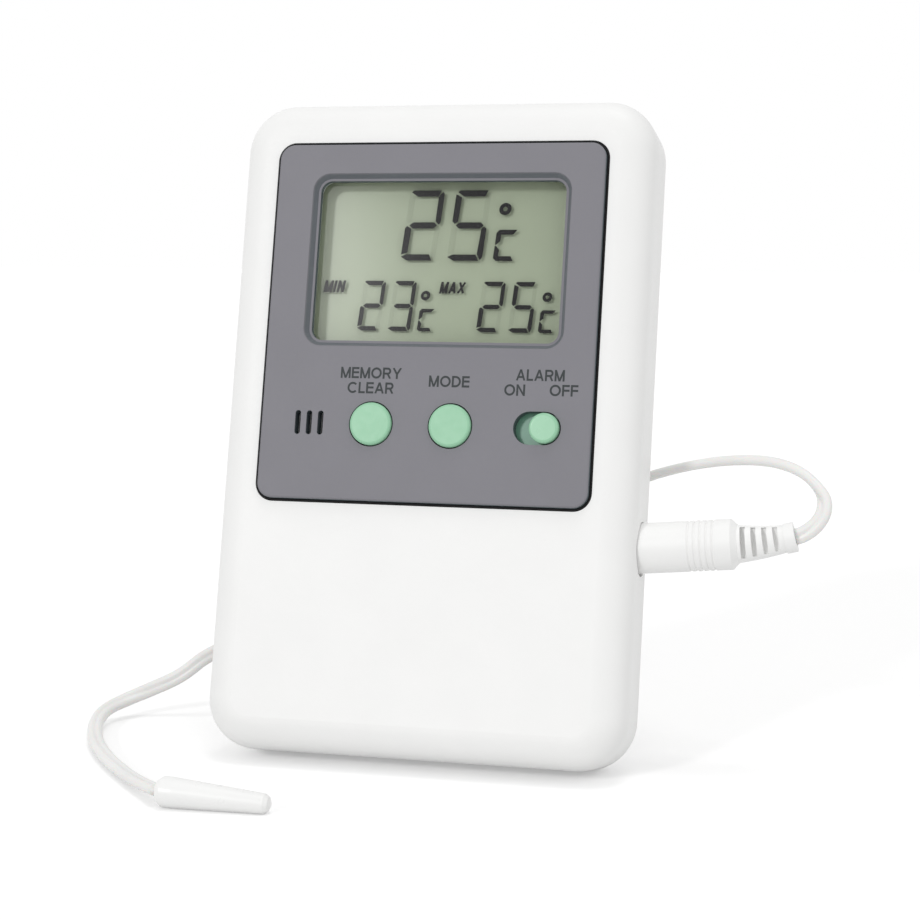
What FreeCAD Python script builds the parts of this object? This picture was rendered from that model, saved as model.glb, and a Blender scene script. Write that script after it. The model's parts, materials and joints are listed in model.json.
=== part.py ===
import FreeCAD, Part
import math
import os
import re

import Sketcher
from FreeCAD import Placement, Rotation, Vector

# Digital maximum minimum thermometer with a plug-in probe on a long lead.
#
# The case is modelled in its own upright frame, in millimetres: x to the right as the display is
# read, y from the front face (0) towards the back, z up from the bottom edge (0).  The whole case
# then leans back on its fold-out foot, so every piece that belongs to it takes the placement
# `case_frame`.  The finished part has +Z up and stands on z = 0.

SIZES = {
    # case shells
    "case_width": 69.85,
    "case_height": 107.95,
    "case_depth": 16.5,
    "case_corner": 8.25,
    "front_rounding": 5.3,
    "rear_rounding": 4.0,
    "wall": 2.0,
    "face_wall": 2.4,
    "parting_depth": 8.5,
    "lip_reach": 1.0,
    "lip_thick": 0.85,
    "seat_gap": 0.15,
    "lean": 13.79,
    # screws that close the case
    "screw_side_inset": 8.4,
    "screw_end_inset": 7.0,
    "boss_radius": 2.8,
    "screw_radius": 1.05,
    "screw_hole_gap": 0.05,
    "screw_length": 7.0,
    "head_radius": 2.1,
    "head_thick": 1.5,
    "head_seat": 11.0,
    "head_gap": 0.5,
    # grey panel on the front
    "panel_width": 55.1,
    "panel_height": 59.0,
    "panel_drop": 8.05,
    "panel_corner": 2.5,
    "panel_proud": 0.8,
    "panel_seat": 1.2,
    "panel_gap": 0.5,
    "panel_edge": 0.35,
    # display window in the panel
    "window_side": 0.45,
    "window_drop": 19.35,
    "window_width": 43.7,
    "window_height": 28.9,
    "window_corner": 3.0,
    "window_bevel": 0.7,
    "window_step": 1.0,
    "window_ledge": 0.4,
    # display cell
    "glass_depth": 1.8,
    "glass_lap": 1.0,
    "glass_side_lap": 2.25,
    "front_glass": 1.1,
    "rear_glass": 0.9,
    "glass_ledge": 3.6,
    "reflector_thick": 0.2,
    "strip_width": 2.0,
    "strip_length": 40.0,
    "holder_wall": 1.0,
    "holder_base": 0.8,
    "cell_gap": 0.2,
    # circuit board
    "board_thick": 1.0,
    "board_margin": 3.9,
    "board_reach": 5.2,
    "board_crown": 1.6,
    "board_flare": 4.0,
    "tab_margin": 1.5,
    "tab_gap": 0.4,
    "tab_reach": 1.8,
    # push buttons
    "key_drop": 9.2,
    "key_pitch": 13.25,
    "mode_side": 4.5,
    "button_radius": 3.5,
    "button_gap": 0.2,
    "button_proud": 0.6,
    "button_edge": 0.5,
    "flange_radius": 4.4,
    "flange_thick": 0.5,
    "key_play": 0.05,
    "plunger_radius": 1.0,
    "plunger_reach": 0.5,
    "plunger_sunk": 0.55,
    "key_switch_side": 4.6,
    "key_well_gap": 0.05,
    # alarm slide switch
    "slot_offset": 14.27,
    "knob_radius": 2.45,
    "knob_gap": 0.225,
    "knob_proud": 0.9,
    "slide_travel": 2.4,
    "slide_cover": 0.275,
    "slide_lap": 0.525,
    "slide_play": 0.05,
    "slide_end_gap": 0.3,
    "fork_reach": 0.85,
    "fork_prong": 0.8,
    "fork_width": 2.4,
    "lever_length": 1.6,
    "lever_width": 1.4,
    "lever_gap": 0.05,
    "lever_front": 2.75,
    "lever_sunk": 0.8,
    "switch_length": 8.6,
    "switch_width": 3.6,
    "switch_tall": 1.4,
    "switch_well": 1.0,
    # sounder behind its three slots
    "sound_shift": 0.3,
    "sound_pitch": 1.93,
    "sound_width": 0.96,
    "sound_length": 3.95,
    "sounder_gap": 0.65,
    "sounder_radius": 5.8,
    "sounder_ring": 0.8,
    "sounder_wall": 0.9,
    "brass_thick": 0.25,
    "ceramic_radius": 4.2,
    "ceramic_thick": 0.25,
    # parts on the back of the board
    "chip_side": 6.0,
    "chip_drop": 2.5,
    "chip_radius": 5.0,
    "chip_tall": 1.4,
    "crystal_side": 14.0,
    "crystal_rise": 6.6,
    "crystal_radius": 1.0,
    "crystal_length": 6.0,
    # battery bay in the back
    "cell_radius": 5.25,
    "cell_barrel": 43.7,
    "nub_radius": 1.9,
    "nub_length": 0.8,
    "bay_clear": 0.1,
    "board_clear": 0.9,
    "bay_spring": 2.5,
    "bay_side_gap": 0.85,
    "bay_wall": 1.2,
    "bay_floor": 0.75,
    "bay_back_gap": 0.05,
    "contact_thick": 0.4,
    "contact_width": 8.4,
    "contact_tall": 9.0,
    "nub_gap": 0.05,
    "spring_wire": 0.25,
    "spring_wide": 3.4,
    "spring_narrow": 2.2,
    "spring_turns": 2.5,
    # battery door
    "door_thick": 1.5,
    "door_lap": 0.9,
    "door_gap": 0.15,
    "door_corner": 1.2,
    "grip_length": 9.0,
    "grip_width": 4.0,
    "grip_depth": 0.5,
    "grip_pitch": 2.0,
    # fold-out foot
    "foot_width": 30.0,
    "foot_clear": 0.5,
    "foot_thick": 2.2,
    "foot_axis_height": 6.5,
    "foot_axis_inset": 1.6,
    "foot_barrel": 1.4,
    "foot_tip": 0.7,
    "foot_scoop": 4.5,
    "foot_gap": 0.3,
    "recess_floor": 1.4,
    "recess_wall": 1.9,
    "hinge_pin": 0.9,
    "hinge_pin_reach": 1.2,
    "hinge_gap": 0.05,
    # keyhole for a wall screw
    "hang_drop": 16.45,
    "key_radius": 4.0,
    "key_slot_width": 4.2,
    "key_slot_reach": 8.0,
    "key_box_depth": 3.2,
    "key_box_wall": 1.2,
    "key_box_gap": 0.6,
    # jack in the right-hand side
    "jack_drop": 4.4,
    "jack_tilt": 5.0,
    "jack_inset": 2.0,
    "jack_hole": 4.4,
    "jack_body_length": 11.6,
    "jack_body_front": 0.7,
    "jack_body_tall": 6.0,
    "jack_bore_gap": 0.05,
    # plug and its strain relief
    "pin_radius": 1.25,
    "pin_length": 11.0,
    "pin_root": 1.0,
    "pin_tip_length": 2.2,
    "pin_ring_length": 0.6,
    "plug_radius": 4.05,
    "plug_length": 17.4,
    "plug_chamfer": 0.9,
    "rib_start": 9.6,
    "rib_pitch": 0.96,
    "rib_depth": 0.22,
    "relief_length": 9.0,
    "relief_start": 3.05,
    "relief_end": 2.2,
    "relief_collar": 2.4,
    "relief_ring": 1.6,
    "relief_bend": 9.0,
    "relief_slot": 0.8,
    "relief_lead": 0.95,
    "relief_pitch": 1.72,
    "relief_web": 0.9,
    "relief_skin": 0.45,
    # lead and probe
    "cord_size": 2.6,
    "cord_exit": 1.3,
    "coil_mean": 15.5,
    "coil_tall": 13.0,
    "coil_corner": 2.6,
    "coil_lead_in": 6.0,
    "tie_turn": 22.0,
    "tie_thick": 0.4,
    "probe_radius": 2.35,
    "probe_tip": 1.55,
    "probe_length": 17.8,
    "probe_collar": 2.6,
    "probe_neck": 1.75,
}

RIB_COUNT = 5
ARCS_A_TURN = 8
RELIEF_SLOTS = 4
SOUND_SLOTS = 3

doc = FreeCAD.newDocument("thermometer")
sheet = doc.addObject("Spreadsheet::Sheet", "sizes")
for row, (alias, value) in enumerate(SIZES.items(), start=1):
    sheet.set(f"A{row}", alias.replace("_", " "))
    sheet.set(f"B{row}", str(value))
    sheet.setAlias(f"B{row}", alias)
sums = doc.addObject("Spreadsheet::Sheet", "sums")
doc.recompute()


def size(alias):
    """A driving size, read back from the sheet."""
    return float(sheet.get(alias))


# a name from the sheet, and not a function such as sqrt( or sin(
SIZE_NAME = re.compile(r"[a-z][a-z_]+(?![a-z_(])")


def tied(formula):
    """A formula over the sheet's names, as the document's expression engine reads it."""
    return SIZE_NAME.sub(lambda word: f"sizes.{word.group(0)}", formula)


worked_out = {}


def number(formula):
    """What a formula over the sheet's names comes to, for a sketch's first guess."""
    if formula not in worked_out:
        sums.set("A1", "=" + SIZE_NAME.sub(lambda word: str(SIZES[word.group(0)]), formula))
        sums.recompute()
        worked_out[formula] = float(sums.get("A1"))
    return worked_out[formula]


# ---------------------------------------------------------------------------
# places worked out from the sizes, each piece from the one it sits beside
# ---------------------------------------------------------------------------

SIDE = "case_width / 2"
PANEL_LEFT, PANEL_RIGHT = "-panel_width / 2", "panel_width / 2"
PANEL_HIGH = "(case_height - panel_drop)"
PANEL_LOW = f"({PANEL_HIGH} - panel_height)"
WINDOW_MIDDLE = f"({PANEL_HIGH} - window_drop)"
WINDOW_INNER = "window_bevel + window_ledge"
VIEW_HALF = f"(window_height / 2 - ({WINDOW_INNER}))"
GLASS_REACH = f"(window_width / 2 - ({WINDOW_INNER}) + glass_side_lap)"
GLASS_LEFT = f"(window_side - {GLASS_REACH})"
GLASS_RIGHT = f"(window_side + {GLASS_REACH})"
GLASS_TOP = f"({WINDOW_MIDDLE} + {VIEW_HALF} + glass_lap)"
REAR_GLASS_BOTTOM = f"({WINDOW_MIDDLE} - {VIEW_HALF} - glass_lap)"
GLASS_BOTTOM = f"({REAR_GLASS_BOTTOM} - glass_ledge)"
STRIP_BOTTOM = f"({GLASS_BOTTOM} + (glass_ledge - strip_width) / 2)"

KEY_ROW = f"({GLASS_BOTTOM} - key_drop)"
CLEAR_SIDE = "(mode_side - key_pitch)"
SLOT_SIDE = "(mode_side + slot_offset)"
KNOB_SIDE = f"({SLOT_SIDE} + slide_travel / 2)"
SLOT_WIDTH = "(2 * (knob_radius + knob_gap))"
SLIDE_HALF = f"(slide_travel + {SLOT_WIDTH} / 2 + slide_cover)"
SLIDE_HALF_WIDTH = f"({SLOT_WIDTH} / 2 + slide_lap)"
SOUNDER_SIDE = f"({CLEAR_SIDE} - flange_radius - sounder_gap - sounder_radius)"
SOUND_SIDE = f"({SOUNDER_SIDE} + sound_shift)"

BOARD_BOTTOM = f"({KEY_ROW} - board_reach)"
BOARD_TOP = f"({GLASS_TOP} + board_crown)"
BOARD_SIDE = f"({SIDE} - wall - board_margin)"
BAY_HALF = "(cell_radius + bay_side_gap)"
BAY_MIDDLE = f"({BOARD_BOTTOM} - board_clear - bay_wall - {BAY_HALF})"
# the shell's inner rounding holds the tray off the side wall by this much
INNER_ROUNDING = "(front_rounding - wall)"
CORNER_ROOM = f"({INNER_ROUNDING} - sqrt(seat_gap * (2 * {INNER_ROUNDING} - seat_gap)))"
BAY_LEFT = f"(-{SIDE} + wall + {CORNER_ROOM} + bay_clear + bay_wall)"
CELL_LEFT = f"({BAY_LEFT} + contact_thick + bay_spring)"
PLUS_PLATE_LEFT = f"({CELL_LEFT} + cell_barrel + nub_length + nub_gap)"
BAY_RIGHT = f"({PLUS_PLATE_LEFT} + contact_thick)"
JACK_HEIGHT = f"({BAY_MIDDLE} - jack_drop)"
JACK_DEPTH = "parting_depth"
JACK_MOUTH = f"({SIDE} - jack_inset)"
TAB_LEFT = f"({JACK_MOUTH} - jack_body_front - jack_body_length - tab_gap)"
TAB_RIGHT = f"({SIDE} - wall - tab_margin)"
TAB_BOTTOM = f"({JACK_HEIGHT} - jack_body_tall / 2 - tab_reach)"

FOOT_HIGH = f"({BAY_MIDDLE} - {BAY_HALF} - bay_wall - foot_clear - recess_floor)"
FOOT_LENGTH = f"({FOOT_HIGH} - foot_gap - foot_axis_height)"
HINGE_DEPTH = "(case_depth - foot_axis_inset)"
KEYHOLE_HEIGHT = "(case_height - hang_drop)"

REAR_GLASS_DEPTH = "(glass_depth + front_glass)"
REFLECTOR_DEPTH = f"({REAR_GLASS_DEPTH} + rear_glass)"
HOLDER_DEPTH = f"({REFLECTOR_DEPTH} + reflector_thick)"
BOARD_DEPTH = f"({HOLDER_DEPTH} + holder_base)"
BOARD_BACK = f"({BOARD_DEPTH} + board_thick)"
FLANGE_DEPTH = "(face_wall + key_play)"
PLUNGER_DEPTH = f"({FLANGE_DEPTH} + flange_thick)"
KEY_SWITCH_DEPTH = f"({PLUNGER_DEPTH} + plunger_reach)"
CELL_DEPTH = "(face_wall + seat_gap + bay_floor + bay_back_gap + cell_radius)"

# ---------------------------------------------------------------------------
# bodies, sketches and features
# ---------------------------------------------------------------------------

nodes = {}


def new_body(label):
    """An empty body, which becomes the sub-part of that name."""
    body = doc.addObject("PartDesign::Body", label)
    body.Label = label
    nodes[label] = body
    return body


def new_sketch(body, role, offset):
    """A sketch on one of the body's origin planes, moved along its normal.

    XZ_Plane sketches lie at the case depth `offset`; YZ_Plane sketches at that x, with the
    case depth along their first axis; XY_Plane sketches at that height.
    """
    sketch = body.newObject("Sketcher::SketchObject", f"{body.Name}_sketch")
    plane = next(item for item in body.Origin.OriginFeatures if item.Role == role)
    sketch.AttachmentSupport = [(plane, "")]
    sketch.MapMode = "FlatFace"
    sign = "-1 * " if role == "XZ_Plane" else ""
    sketch.setExpression("AttachmentOffset.Base.z", tied(f"{sign}({offset})"))
    return sketch


def tie(sketch, *constraint):
    """Adds a dimension whose last argument is a formula, and binds it to the sheet."""
    *where, formula = constraint
    index = sketch.addConstraint(Sketcher.Constraint(*where, number(formula)))
    sketch.setExpression(f"Constraints[{index}]", tied(formula))


def rounded(sketch, left, right, bottom, top, corner):
    """A rectangle with four round corners, each side held at its own place."""
    x0, x1 = number(left), number(right)
    z0, z1 = number(bottom), number(top)
    r = number(corner)
    up = Vector(0, 0, 1)
    lines = [
        ((x0 + r, z0), (x1 - r, z0)),
        ((x1, z0 + r), (x1, z1 - r)),
        ((x1 - r, z1), (x0 + r, z1)),
        ((x0, z1 - r), (x0, z0 + r)),
    ]
    centres = [(x1 - r, z0 + r), (x1 - r, z1 - r), (x0 + r, z1 - r), (x0 + r, z0 + r)]
    first = sketch.GeometryCount
    for start, end in lines:
        sketch.addGeometry(Part.LineSegment(Vector(*start, 0), Vector(*end, 0)))
    for turn, centre in enumerate(centres):
        start = math.radians(-90 + 90 * turn)
        circle = Part.Circle(Vector(*centre, 0), up, r)
        sketch.addGeometry(Part.ArcOfCircle(circle, start, start + math.pi / 2))
    for side in range(4):
        line, arc, after = first + side, first + 4 + side, first + (side + 1) % 4
        sketch.addConstraint(Sketcher.Constraint("Tangent", line, 2, arc, 1))
        sketch.addConstraint(Sketcher.Constraint("Tangent", arc, 2, after, 1))
    for side, way in enumerate(["Horizontal", "Vertical", "Horizontal", "Vertical"]):
        sketch.addConstraint(Sketcher.Constraint(way, first + side))
    for arc in range(first + 5, first + 8):
        sketch.addConstraint(Sketcher.Constraint("Equal", first + 4, arc))
    tie(sketch, "Radius", first + 4, corner)
    tie(sketch, "DistanceY", -1, 1, first, 1, bottom)
    tie(sketch, "DistanceX", -1, 1, first + 1, 1, right)
    tie(sketch, "DistanceY", -1, 1, first + 2, 1, top)
    tie(sketch, "DistanceX", -1, 1, first + 3, 1, left)


def polygon(sketch, corners):
    """A closed outline of straight sides, each corner held at its own place."""
    spots = [(number(x), number(z)) for x, z in corners]
    first = sketch.GeometryCount
    for start, end in zip(spots, spots[1:] + spots[:1]):
        sketch.addGeometry(Part.LineSegment(Vector(*start, 0), Vector(*end, 0)))
    count = len(corners)
    for side in range(count):
        after = first + (side + 1) % count
        sketch.addConstraint(Sketcher.Constraint("Coincident", first + side, 2, after, 1))
    for side, (x, z) in enumerate(corners):
        tie(sketch, "DistanceX", -1, 1, first + side, 1, x)
        tie(sketch, "DistanceY", -1, 1, first + side, 1, z)


def rectangle(sketch, left, right, bottom, top):
    polygon(sketch, [(left, bottom), (right, bottom), (right, top), (left, top)])


def circle(sketch, side, height, radius):
    centre = Vector(number(side), number(height), 0)
    index = sketch.addGeometry(Part.Circle(centre, Vector(0, 0, 1), number(radius)))
    tie(sketch, "Radius", index, radius)
    tie(sketch, "DistanceX", -1, 1, index, 3, side)
    tie(sketch, "DistanceY", -1, 1, index, 3, height)


def slot(sketch, start, end, width):
    """A round-ended slot between two centres that share an x or a z."""
    (x0, z0), (x1, z1) = [(number(x), number(z)) for x, z in (start, end)]
    r = number(f"({width}) / 2")
    along = Vector(x1 - x0, z1 - z0, 0).normalize()
    across = Vector(-along.y, along.x, 0)
    one, two = Vector(x0, z0, 0), Vector(x1, z1, 0)
    turn = math.atan2(along.y, along.x)
    up = Vector(0, 0, 1)
    first = sketch.GeometryCount
    sketch.addGeometry(Part.LineSegment(one - across * r, two - across * r))
    far_end = Part.ArcOfCircle(Part.Circle(two, up, r), turn - math.pi / 2, turn + math.pi / 2)
    sketch.addGeometry(far_end)
    sketch.addGeometry(Part.LineSegment(two + across * r, one + across * r))
    near_end = Part.ArcOfCircle(Part.Circle(one, up, r), turn + math.pi / 2, turn + 1.5 * math.pi)
    sketch.addGeometry(near_end)
    for side in range(4):
        after = first + (side + 1) % 4
        sketch.addConstraint(Sketcher.Constraint("Tangent", first + side, 2, after, 1))
    way = "Horizontal" if abs(along.x) > abs(along.y) else "Vertical"
    sketch.addConstraint(Sketcher.Constraint(way, first))
    tie(sketch, "Radius", first + 1, f"({width}) / 2")
    tie(sketch, "DistanceX", -1, 1, first + 3, 3, start[0])
    tie(sketch, "DistanceY", -1, 1, first + 3, 3, start[1])
    held = ("DistanceX", end[0]) if way == "Horizontal" else ("DistanceY", end[1])
    tie(sketch, held[0], -1, 1, first + 1, 3, held[1])


def pad(body, sketch, length, towards_back=True):
    """Material from the sketch; on XZ_Plane sketches towards the back of the case."""
    feature = body.newObject("PartDesign::Pad", f"{body.Name}_pad")
    feature.Profile = sketch
    feature.setExpression("Length", tied(length))
    feature.Reversed = towards_back
    sketch.Visibility = False
    return feature


def pocket(body, sketch, length, forwards=False, taper=None):
    """A cut from the sketch; on XZ_Plane sketches towards the back of the case."""
    feature = body.newObject("PartDesign::Pocket", f"{body.Name}_pocket")
    feature.Profile = sketch
    feature.setExpression("Length", tied(length))
    feature.Reversed = forwards
    if taper:
        feature.setExpression("TaperAngle", taper)
    return feature


def revolve(body, sketch):
    """The sketch turned about its own first axis, which is the x axis."""
    feature = body.newObject("PartDesign::Revolution", f"{body.Name}_turned")
    feature.Profile = sketch
    feature.ReferenceAxis = (sketch, ["H_Axis"])
    feature.Angle = 360
    return feature


def edges_where(feature, test):
    """Names of the feature's edges whose every end and middle passes the test."""
    found = []
    for index, edge in enumerate(feature.Shape.Edges, start=1):
        middle = edge.valueAt((edge.FirstParameter + edge.LastParameter) / 2)
        if all(test(spot) for spot in [middle, *[vertex.Point for vertex in edge.Vertexes]]):
            found.append(f"Edge{index}")
    return found


def fillet(body, base, radius, test):
    """Rounds the edges of the last feature that pass the test."""
    doc.recompute()
    feature = body.newObject("PartDesign::Fillet", f"{body.Name}_fillet")
    feature.Base = (base, edges_where(base, test))
    feature.setExpression("Radius", tied(radius))
    return feature


def at_depth(formula):
    depth = number(formula)
    return lambda spot: abs(spot.y - depth) < 0.01


def outline(sketch, inset):
    """The case's outline, drawn in by `inset` all round."""
    rounded(
        sketch,
        f"-case_width / 2 + ({inset})",
        f"case_width / 2 - ({inset})",
        inset,
        f"case_height - ({inset})",
        f"case_corner - ({inset})",
    )


SCREW_SIDE = f"({SIDE} - screw_side_inset)"
SCREW_SPOTS = [
    (f"{way}{SCREW_SIDE}", height)
    for height in ("screw_end_inset", "(case_height - screw_end_inset)")
    for way in ("-", "")
]


def at_screws(sketch, radius):
    for side, height in SCREW_SPOTS:
        circle(sketch, side, height, radius)


def at_buttons(sketch, radius):
    circle(sketch, CLEAR_SIDE, KEY_ROW, radius)
    circle(sketch, "mode_side", KEY_ROW, radius)


def at_sound_slots(sketch):
    reach = "(sound_length - sound_width) / 2"
    for index in range(SOUND_SLOTS):
        side = f"{SOUND_SIDE} + {index - 1} * sound_pitch"
        low = f"{KEY_ROW} - {reach}"
        high = f"{KEY_ROW} + {reach}"
        slot(sketch, (side, low), (side, high), "sound_width")


def jack_cut(body):
    """The round opening in the right-hand wall, half in each shell."""
    sketch = new_sketch(body, "YZ_Plane", "case_width / 2 + 1")
    circle(sketch, JACK_DEPTH, JACK_HEIGHT, "jack_hole")
    pocket(body, sketch, "wall * 1.5 + 1")


# ---------------------------------------------------------------------------
# case shells
# ---------------------------------------------------------------------------


def window(sketch, inset, corner):
    """The window's outline, drawn in by `inset` all round."""
    rounded(
        sketch,
        f"window_side - window_width / 2 + ({inset})",
        f"window_side + window_width / 2 - ({inset})",
        f"{WINDOW_MIDDLE} - window_height / 2 + ({inset})",
        f"{WINDOW_MIDDLE} + window_height / 2 - ({inset})",
        corner,
    )


def front_case():
    body = new_body("front_case")
    sketch = new_sketch(body, "XZ_Plane", "0")
    outline(sketch, "0")
    shell = pad(body, sketch, "parting_depth")
    fillet(body, shell, "front_rounding", at_depth("0"))
    sketch = new_sketch(body, "XZ_Plane", "face_wall")
    outline(sketch, "wall")
    hollow = pocket(body, sketch, "parting_depth - face_wall")
    fillet(body, hollow, "front_rounding - wall", at_depth("face_wall"))
    # rabbet that the rear shell's lip enters
    sketch = new_sketch(body, "XZ_Plane", "parting_depth - lip_reach - seat_gap")
    outline(sketch, "wall - lip_thick - seat_gap")
    pocket(body, sketch, "lip_reach + seat_gap")
    # bosses for the closing screws
    sketch = new_sketch(body, "XZ_Plane", "face_wall - 0.6")
    at_screws(sketch, "boss_radius")
    pad(body, sketch, "parting_depth - face_wall + 0.6")
    sketch = new_sketch(body, "XZ_Plane", "face_wall + 0.6")
    at_screws(sketch, "screw_radius + screw_hole_gap")
    pocket(body, sketch, "parting_depth")
    # ring that carries the sounder
    sketch = new_sketch(body, "XZ_Plane", "face_wall - 0.6")
    circle(sketch, SOUNDER_SIDE, KEY_ROW, "sounder_radius")
    circle(sketch, SOUNDER_SIDE, KEY_ROW, "sounder_radius - sounder_wall")
    pad(body, sketch, "sounder_ring + 0.6")
    # seat of the grey panel
    sketch = new_sketch(body, "XZ_Plane", "0")
    rounded(
        sketch,
        f"{PANEL_LEFT} - panel_gap",
        f"{PANEL_RIGHT} + panel_gap",
        f"{PANEL_LOW} - panel_gap",
        f"{PANEL_HIGH} + panel_gap",
        "panel_corner + panel_gap",
    )
    pocket(body, sketch, "panel_seat")
    # window, and the pocket behind it that the display glass drops into
    sketch = new_sketch(body, "XZ_Plane", "0")
    window(sketch, f"{WINDOW_INNER} - cell_gap", f"window_corner - ({WINDOW_INNER}) + cell_gap")
    pocket(body, sketch, "face_wall + 0.5")
    sketch = new_sketch(body, "XZ_Plane", "glass_depth")
    rectangle(
        sketch,
        f"{GLASS_LEFT} - cell_gap",
        f"{GLASS_RIGHT} + cell_gap",
        f"{GLASS_BOTTOM} - cell_gap",
        f"{GLASS_TOP} + cell_gap",
    )
    pocket(body, sketch, "1 + face_wall - glass_depth")
    # keys, slide switch and sound slots
    sketch = new_sketch(body, "XZ_Plane", "0")
    at_buttons(sketch, "button_radius + button_gap")
    at_sound_slots(sketch)
    pocket(body, sketch, "face_wall + 0.5")
    sketch = new_sketch(body, "XZ_Plane", "0")
    rectangle(
        sketch,
        f"{KNOB_SIDE} - {SLIDE_HALF} - slide_travel - slide_end_gap",
        f"{KNOB_SIDE} + {SLIDE_HALF} + slide_end_gap",
        f"{KEY_ROW} - {SLIDE_HALF_WIDTH} - slide_end_gap",
        f"{KEY_ROW} + {SLIDE_HALF_WIDTH} + slide_end_gap",
    )
    pocket(body, sketch, "face_wall + 0.5")
    jack_cut(body)


def rear_case():
    body = new_body("rear_case")
    sketch = new_sketch(body, "XZ_Plane", "parting_depth")
    outline(sketch, "0")
    shell = pad(body, sketch, "case_depth - parting_depth")
    fillet(body, shell, "rear_rounding", at_depth("case_depth"))
    sketch = new_sketch(body, "XZ_Plane", "parting_depth")
    outline(sketch, "wall")
    hollow = pocket(body, sketch, "case_depth - wall - parting_depth")
    fillet(body, hollow, "rear_rounding - wall", at_depth("case_depth - wall"))
    # lip that enters the front shell
    sketch = new_sketch(body, "XZ_Plane", "parting_depth - lip_reach")
    outline(sketch, "wall - lip_thick")
    outline(sketch, "wall")
    pad(body, sketch, "lip_reach")
    # posts for the closing screws
    sketch = new_sketch(body, "XZ_Plane", "parting_depth")
    at_screws(sketch, "boss_radius + 0.2")
    pad(body, sketch, "case_depth - parting_depth - wall / 2")
    # box round the fold-out foot
    foot_half = "foot_width / 2 + foot_gap"
    foot_low = "foot_axis_height - foot_barrel - foot_gap"
    floor = "case_depth - foot_axis_inset - foot_barrel - foot_gap"
    sketch = new_sketch(body, "XZ_Plane", f"{floor} - recess_floor")
    rectangle(
        sketch,
        f"-({foot_half}) - recess_wall",
        f"{foot_half} + recess_wall",
        "wall / 2",
        f"{FOOT_HIGH} + recess_floor",
    )
    pad(body, sketch, "foot_axis_inset + foot_barrel + foot_gap + recess_floor - wall / 2")
    sketch = new_sketch(body, "XZ_Plane", floor)
    rectangle(sketch, f"-({foot_half})", foot_half, foot_low, FOOT_HIGH)
    pocket(body, sketch, "foot_axis_inset + foot_barrel + foot_gap + 1")
    sketch = new_sketch(body, "YZ_Plane", f"{foot_half} + hinge_pin_reach")
    circle(sketch, HINGE_DEPTH, "foot_axis_height", "hinge_pin + hinge_gap")
    pocket(body, sketch, f"2 * ({foot_half} + hinge_pin_reach)")
    # tray round the battery, and the rebate of its door
    sketch = new_sketch(body, "XZ_Plane", "face_wall + seat_gap")
    tray(sketch, "bay_wall")
    pad(body, sketch, "case_depth - wall / 2 - face_wall - seat_gap")
    sketch = new_sketch(body, "XZ_Plane", "face_wall + seat_gap + bay_floor")
    tray(sketch, "0")
    pocket(body, sketch, "case_depth")
    sketch = new_sketch(body, "XZ_Plane", "case_depth - door_thick - seat_gap")
    tray(sketch, "door_lap + door_gap")
    pocket(body, sketch, "door_thick + 1")
    # blind keyhole: a closed box inside, open to the back through the hole and its slot
    box_side = "key_radius + key_box_gap"
    key_top = f"{KEYHOLE_HEIGHT} + key_slot_reach + key_slot_width / 2"
    sketch = new_sketch(body, "XZ_Plane", "case_depth - wall - key_box_depth - key_box_wall")
    key_box(sketch, box_side, key_top, "key_box_wall")
    pad(body, sketch, "wall / 2 + key_box_depth + key_box_wall")
    sketch = new_sketch(body, "XZ_Plane", "case_depth - wall - key_box_depth")
    key_box(sketch, box_side, key_top, "0")
    pocket(body, sketch, "key_box_depth")
    sketch = new_sketch(body, "XZ_Plane", "case_depth - wall - key_box_depth / 2")
    circle(sketch, "0", KEYHOLE_HEIGHT, "key_radius")
    pocket(body, sketch, "wall * 3")
    sketch = new_sketch(body, "XZ_Plane", "case_depth - wall - key_box_depth / 2")
    slot(
        sketch,
        ("0", KEYHOLE_HEIGHT),
        ("0", f"{KEYHOLE_HEIGHT} + key_slot_reach"),
        "key_slot_width",
    )
    pocket(body, sketch, "wall * 3")
    # screw holes with their counterbores
    sketch = new_sketch(body, "XZ_Plane", "parting_depth - 1")
    at_screws(sketch, "screw_radius + screw_hole_gap")
    pocket(body, sketch, "case_depth")
    sketch = new_sketch(body, "XZ_Plane", "head_seat")
    at_screws(sketch, "head_radius + head_gap")
    pocket(body, sketch, "case_depth")
    jack_cut(body)


def tray(sketch, spread):
    """The battery bay's outline, drawn out by `spread` all round."""
    rectangle(
        sketch,
        f"{BAY_LEFT} - ({spread})",
        f"{BAY_RIGHT} + ({spread})",
        f"{BAY_MIDDLE} - {BAY_HALF} - ({spread})",
        f"{BAY_MIDDLE} + {BAY_HALF} + ({spread})",
    )


def key_box(sketch, side, top, spread):
    rectangle(
        sketch,
        f"-({side}) - ({spread})",
        f"{side} + ({spread})",
        f"{KEYHOLE_HEIGHT} - ({side}) - ({spread})",
        f"{top} + ({spread})",
    )


# ---------------------------------------------------------------------------
# panel, display and board
# ---------------------------------------------------------------------------


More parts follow.
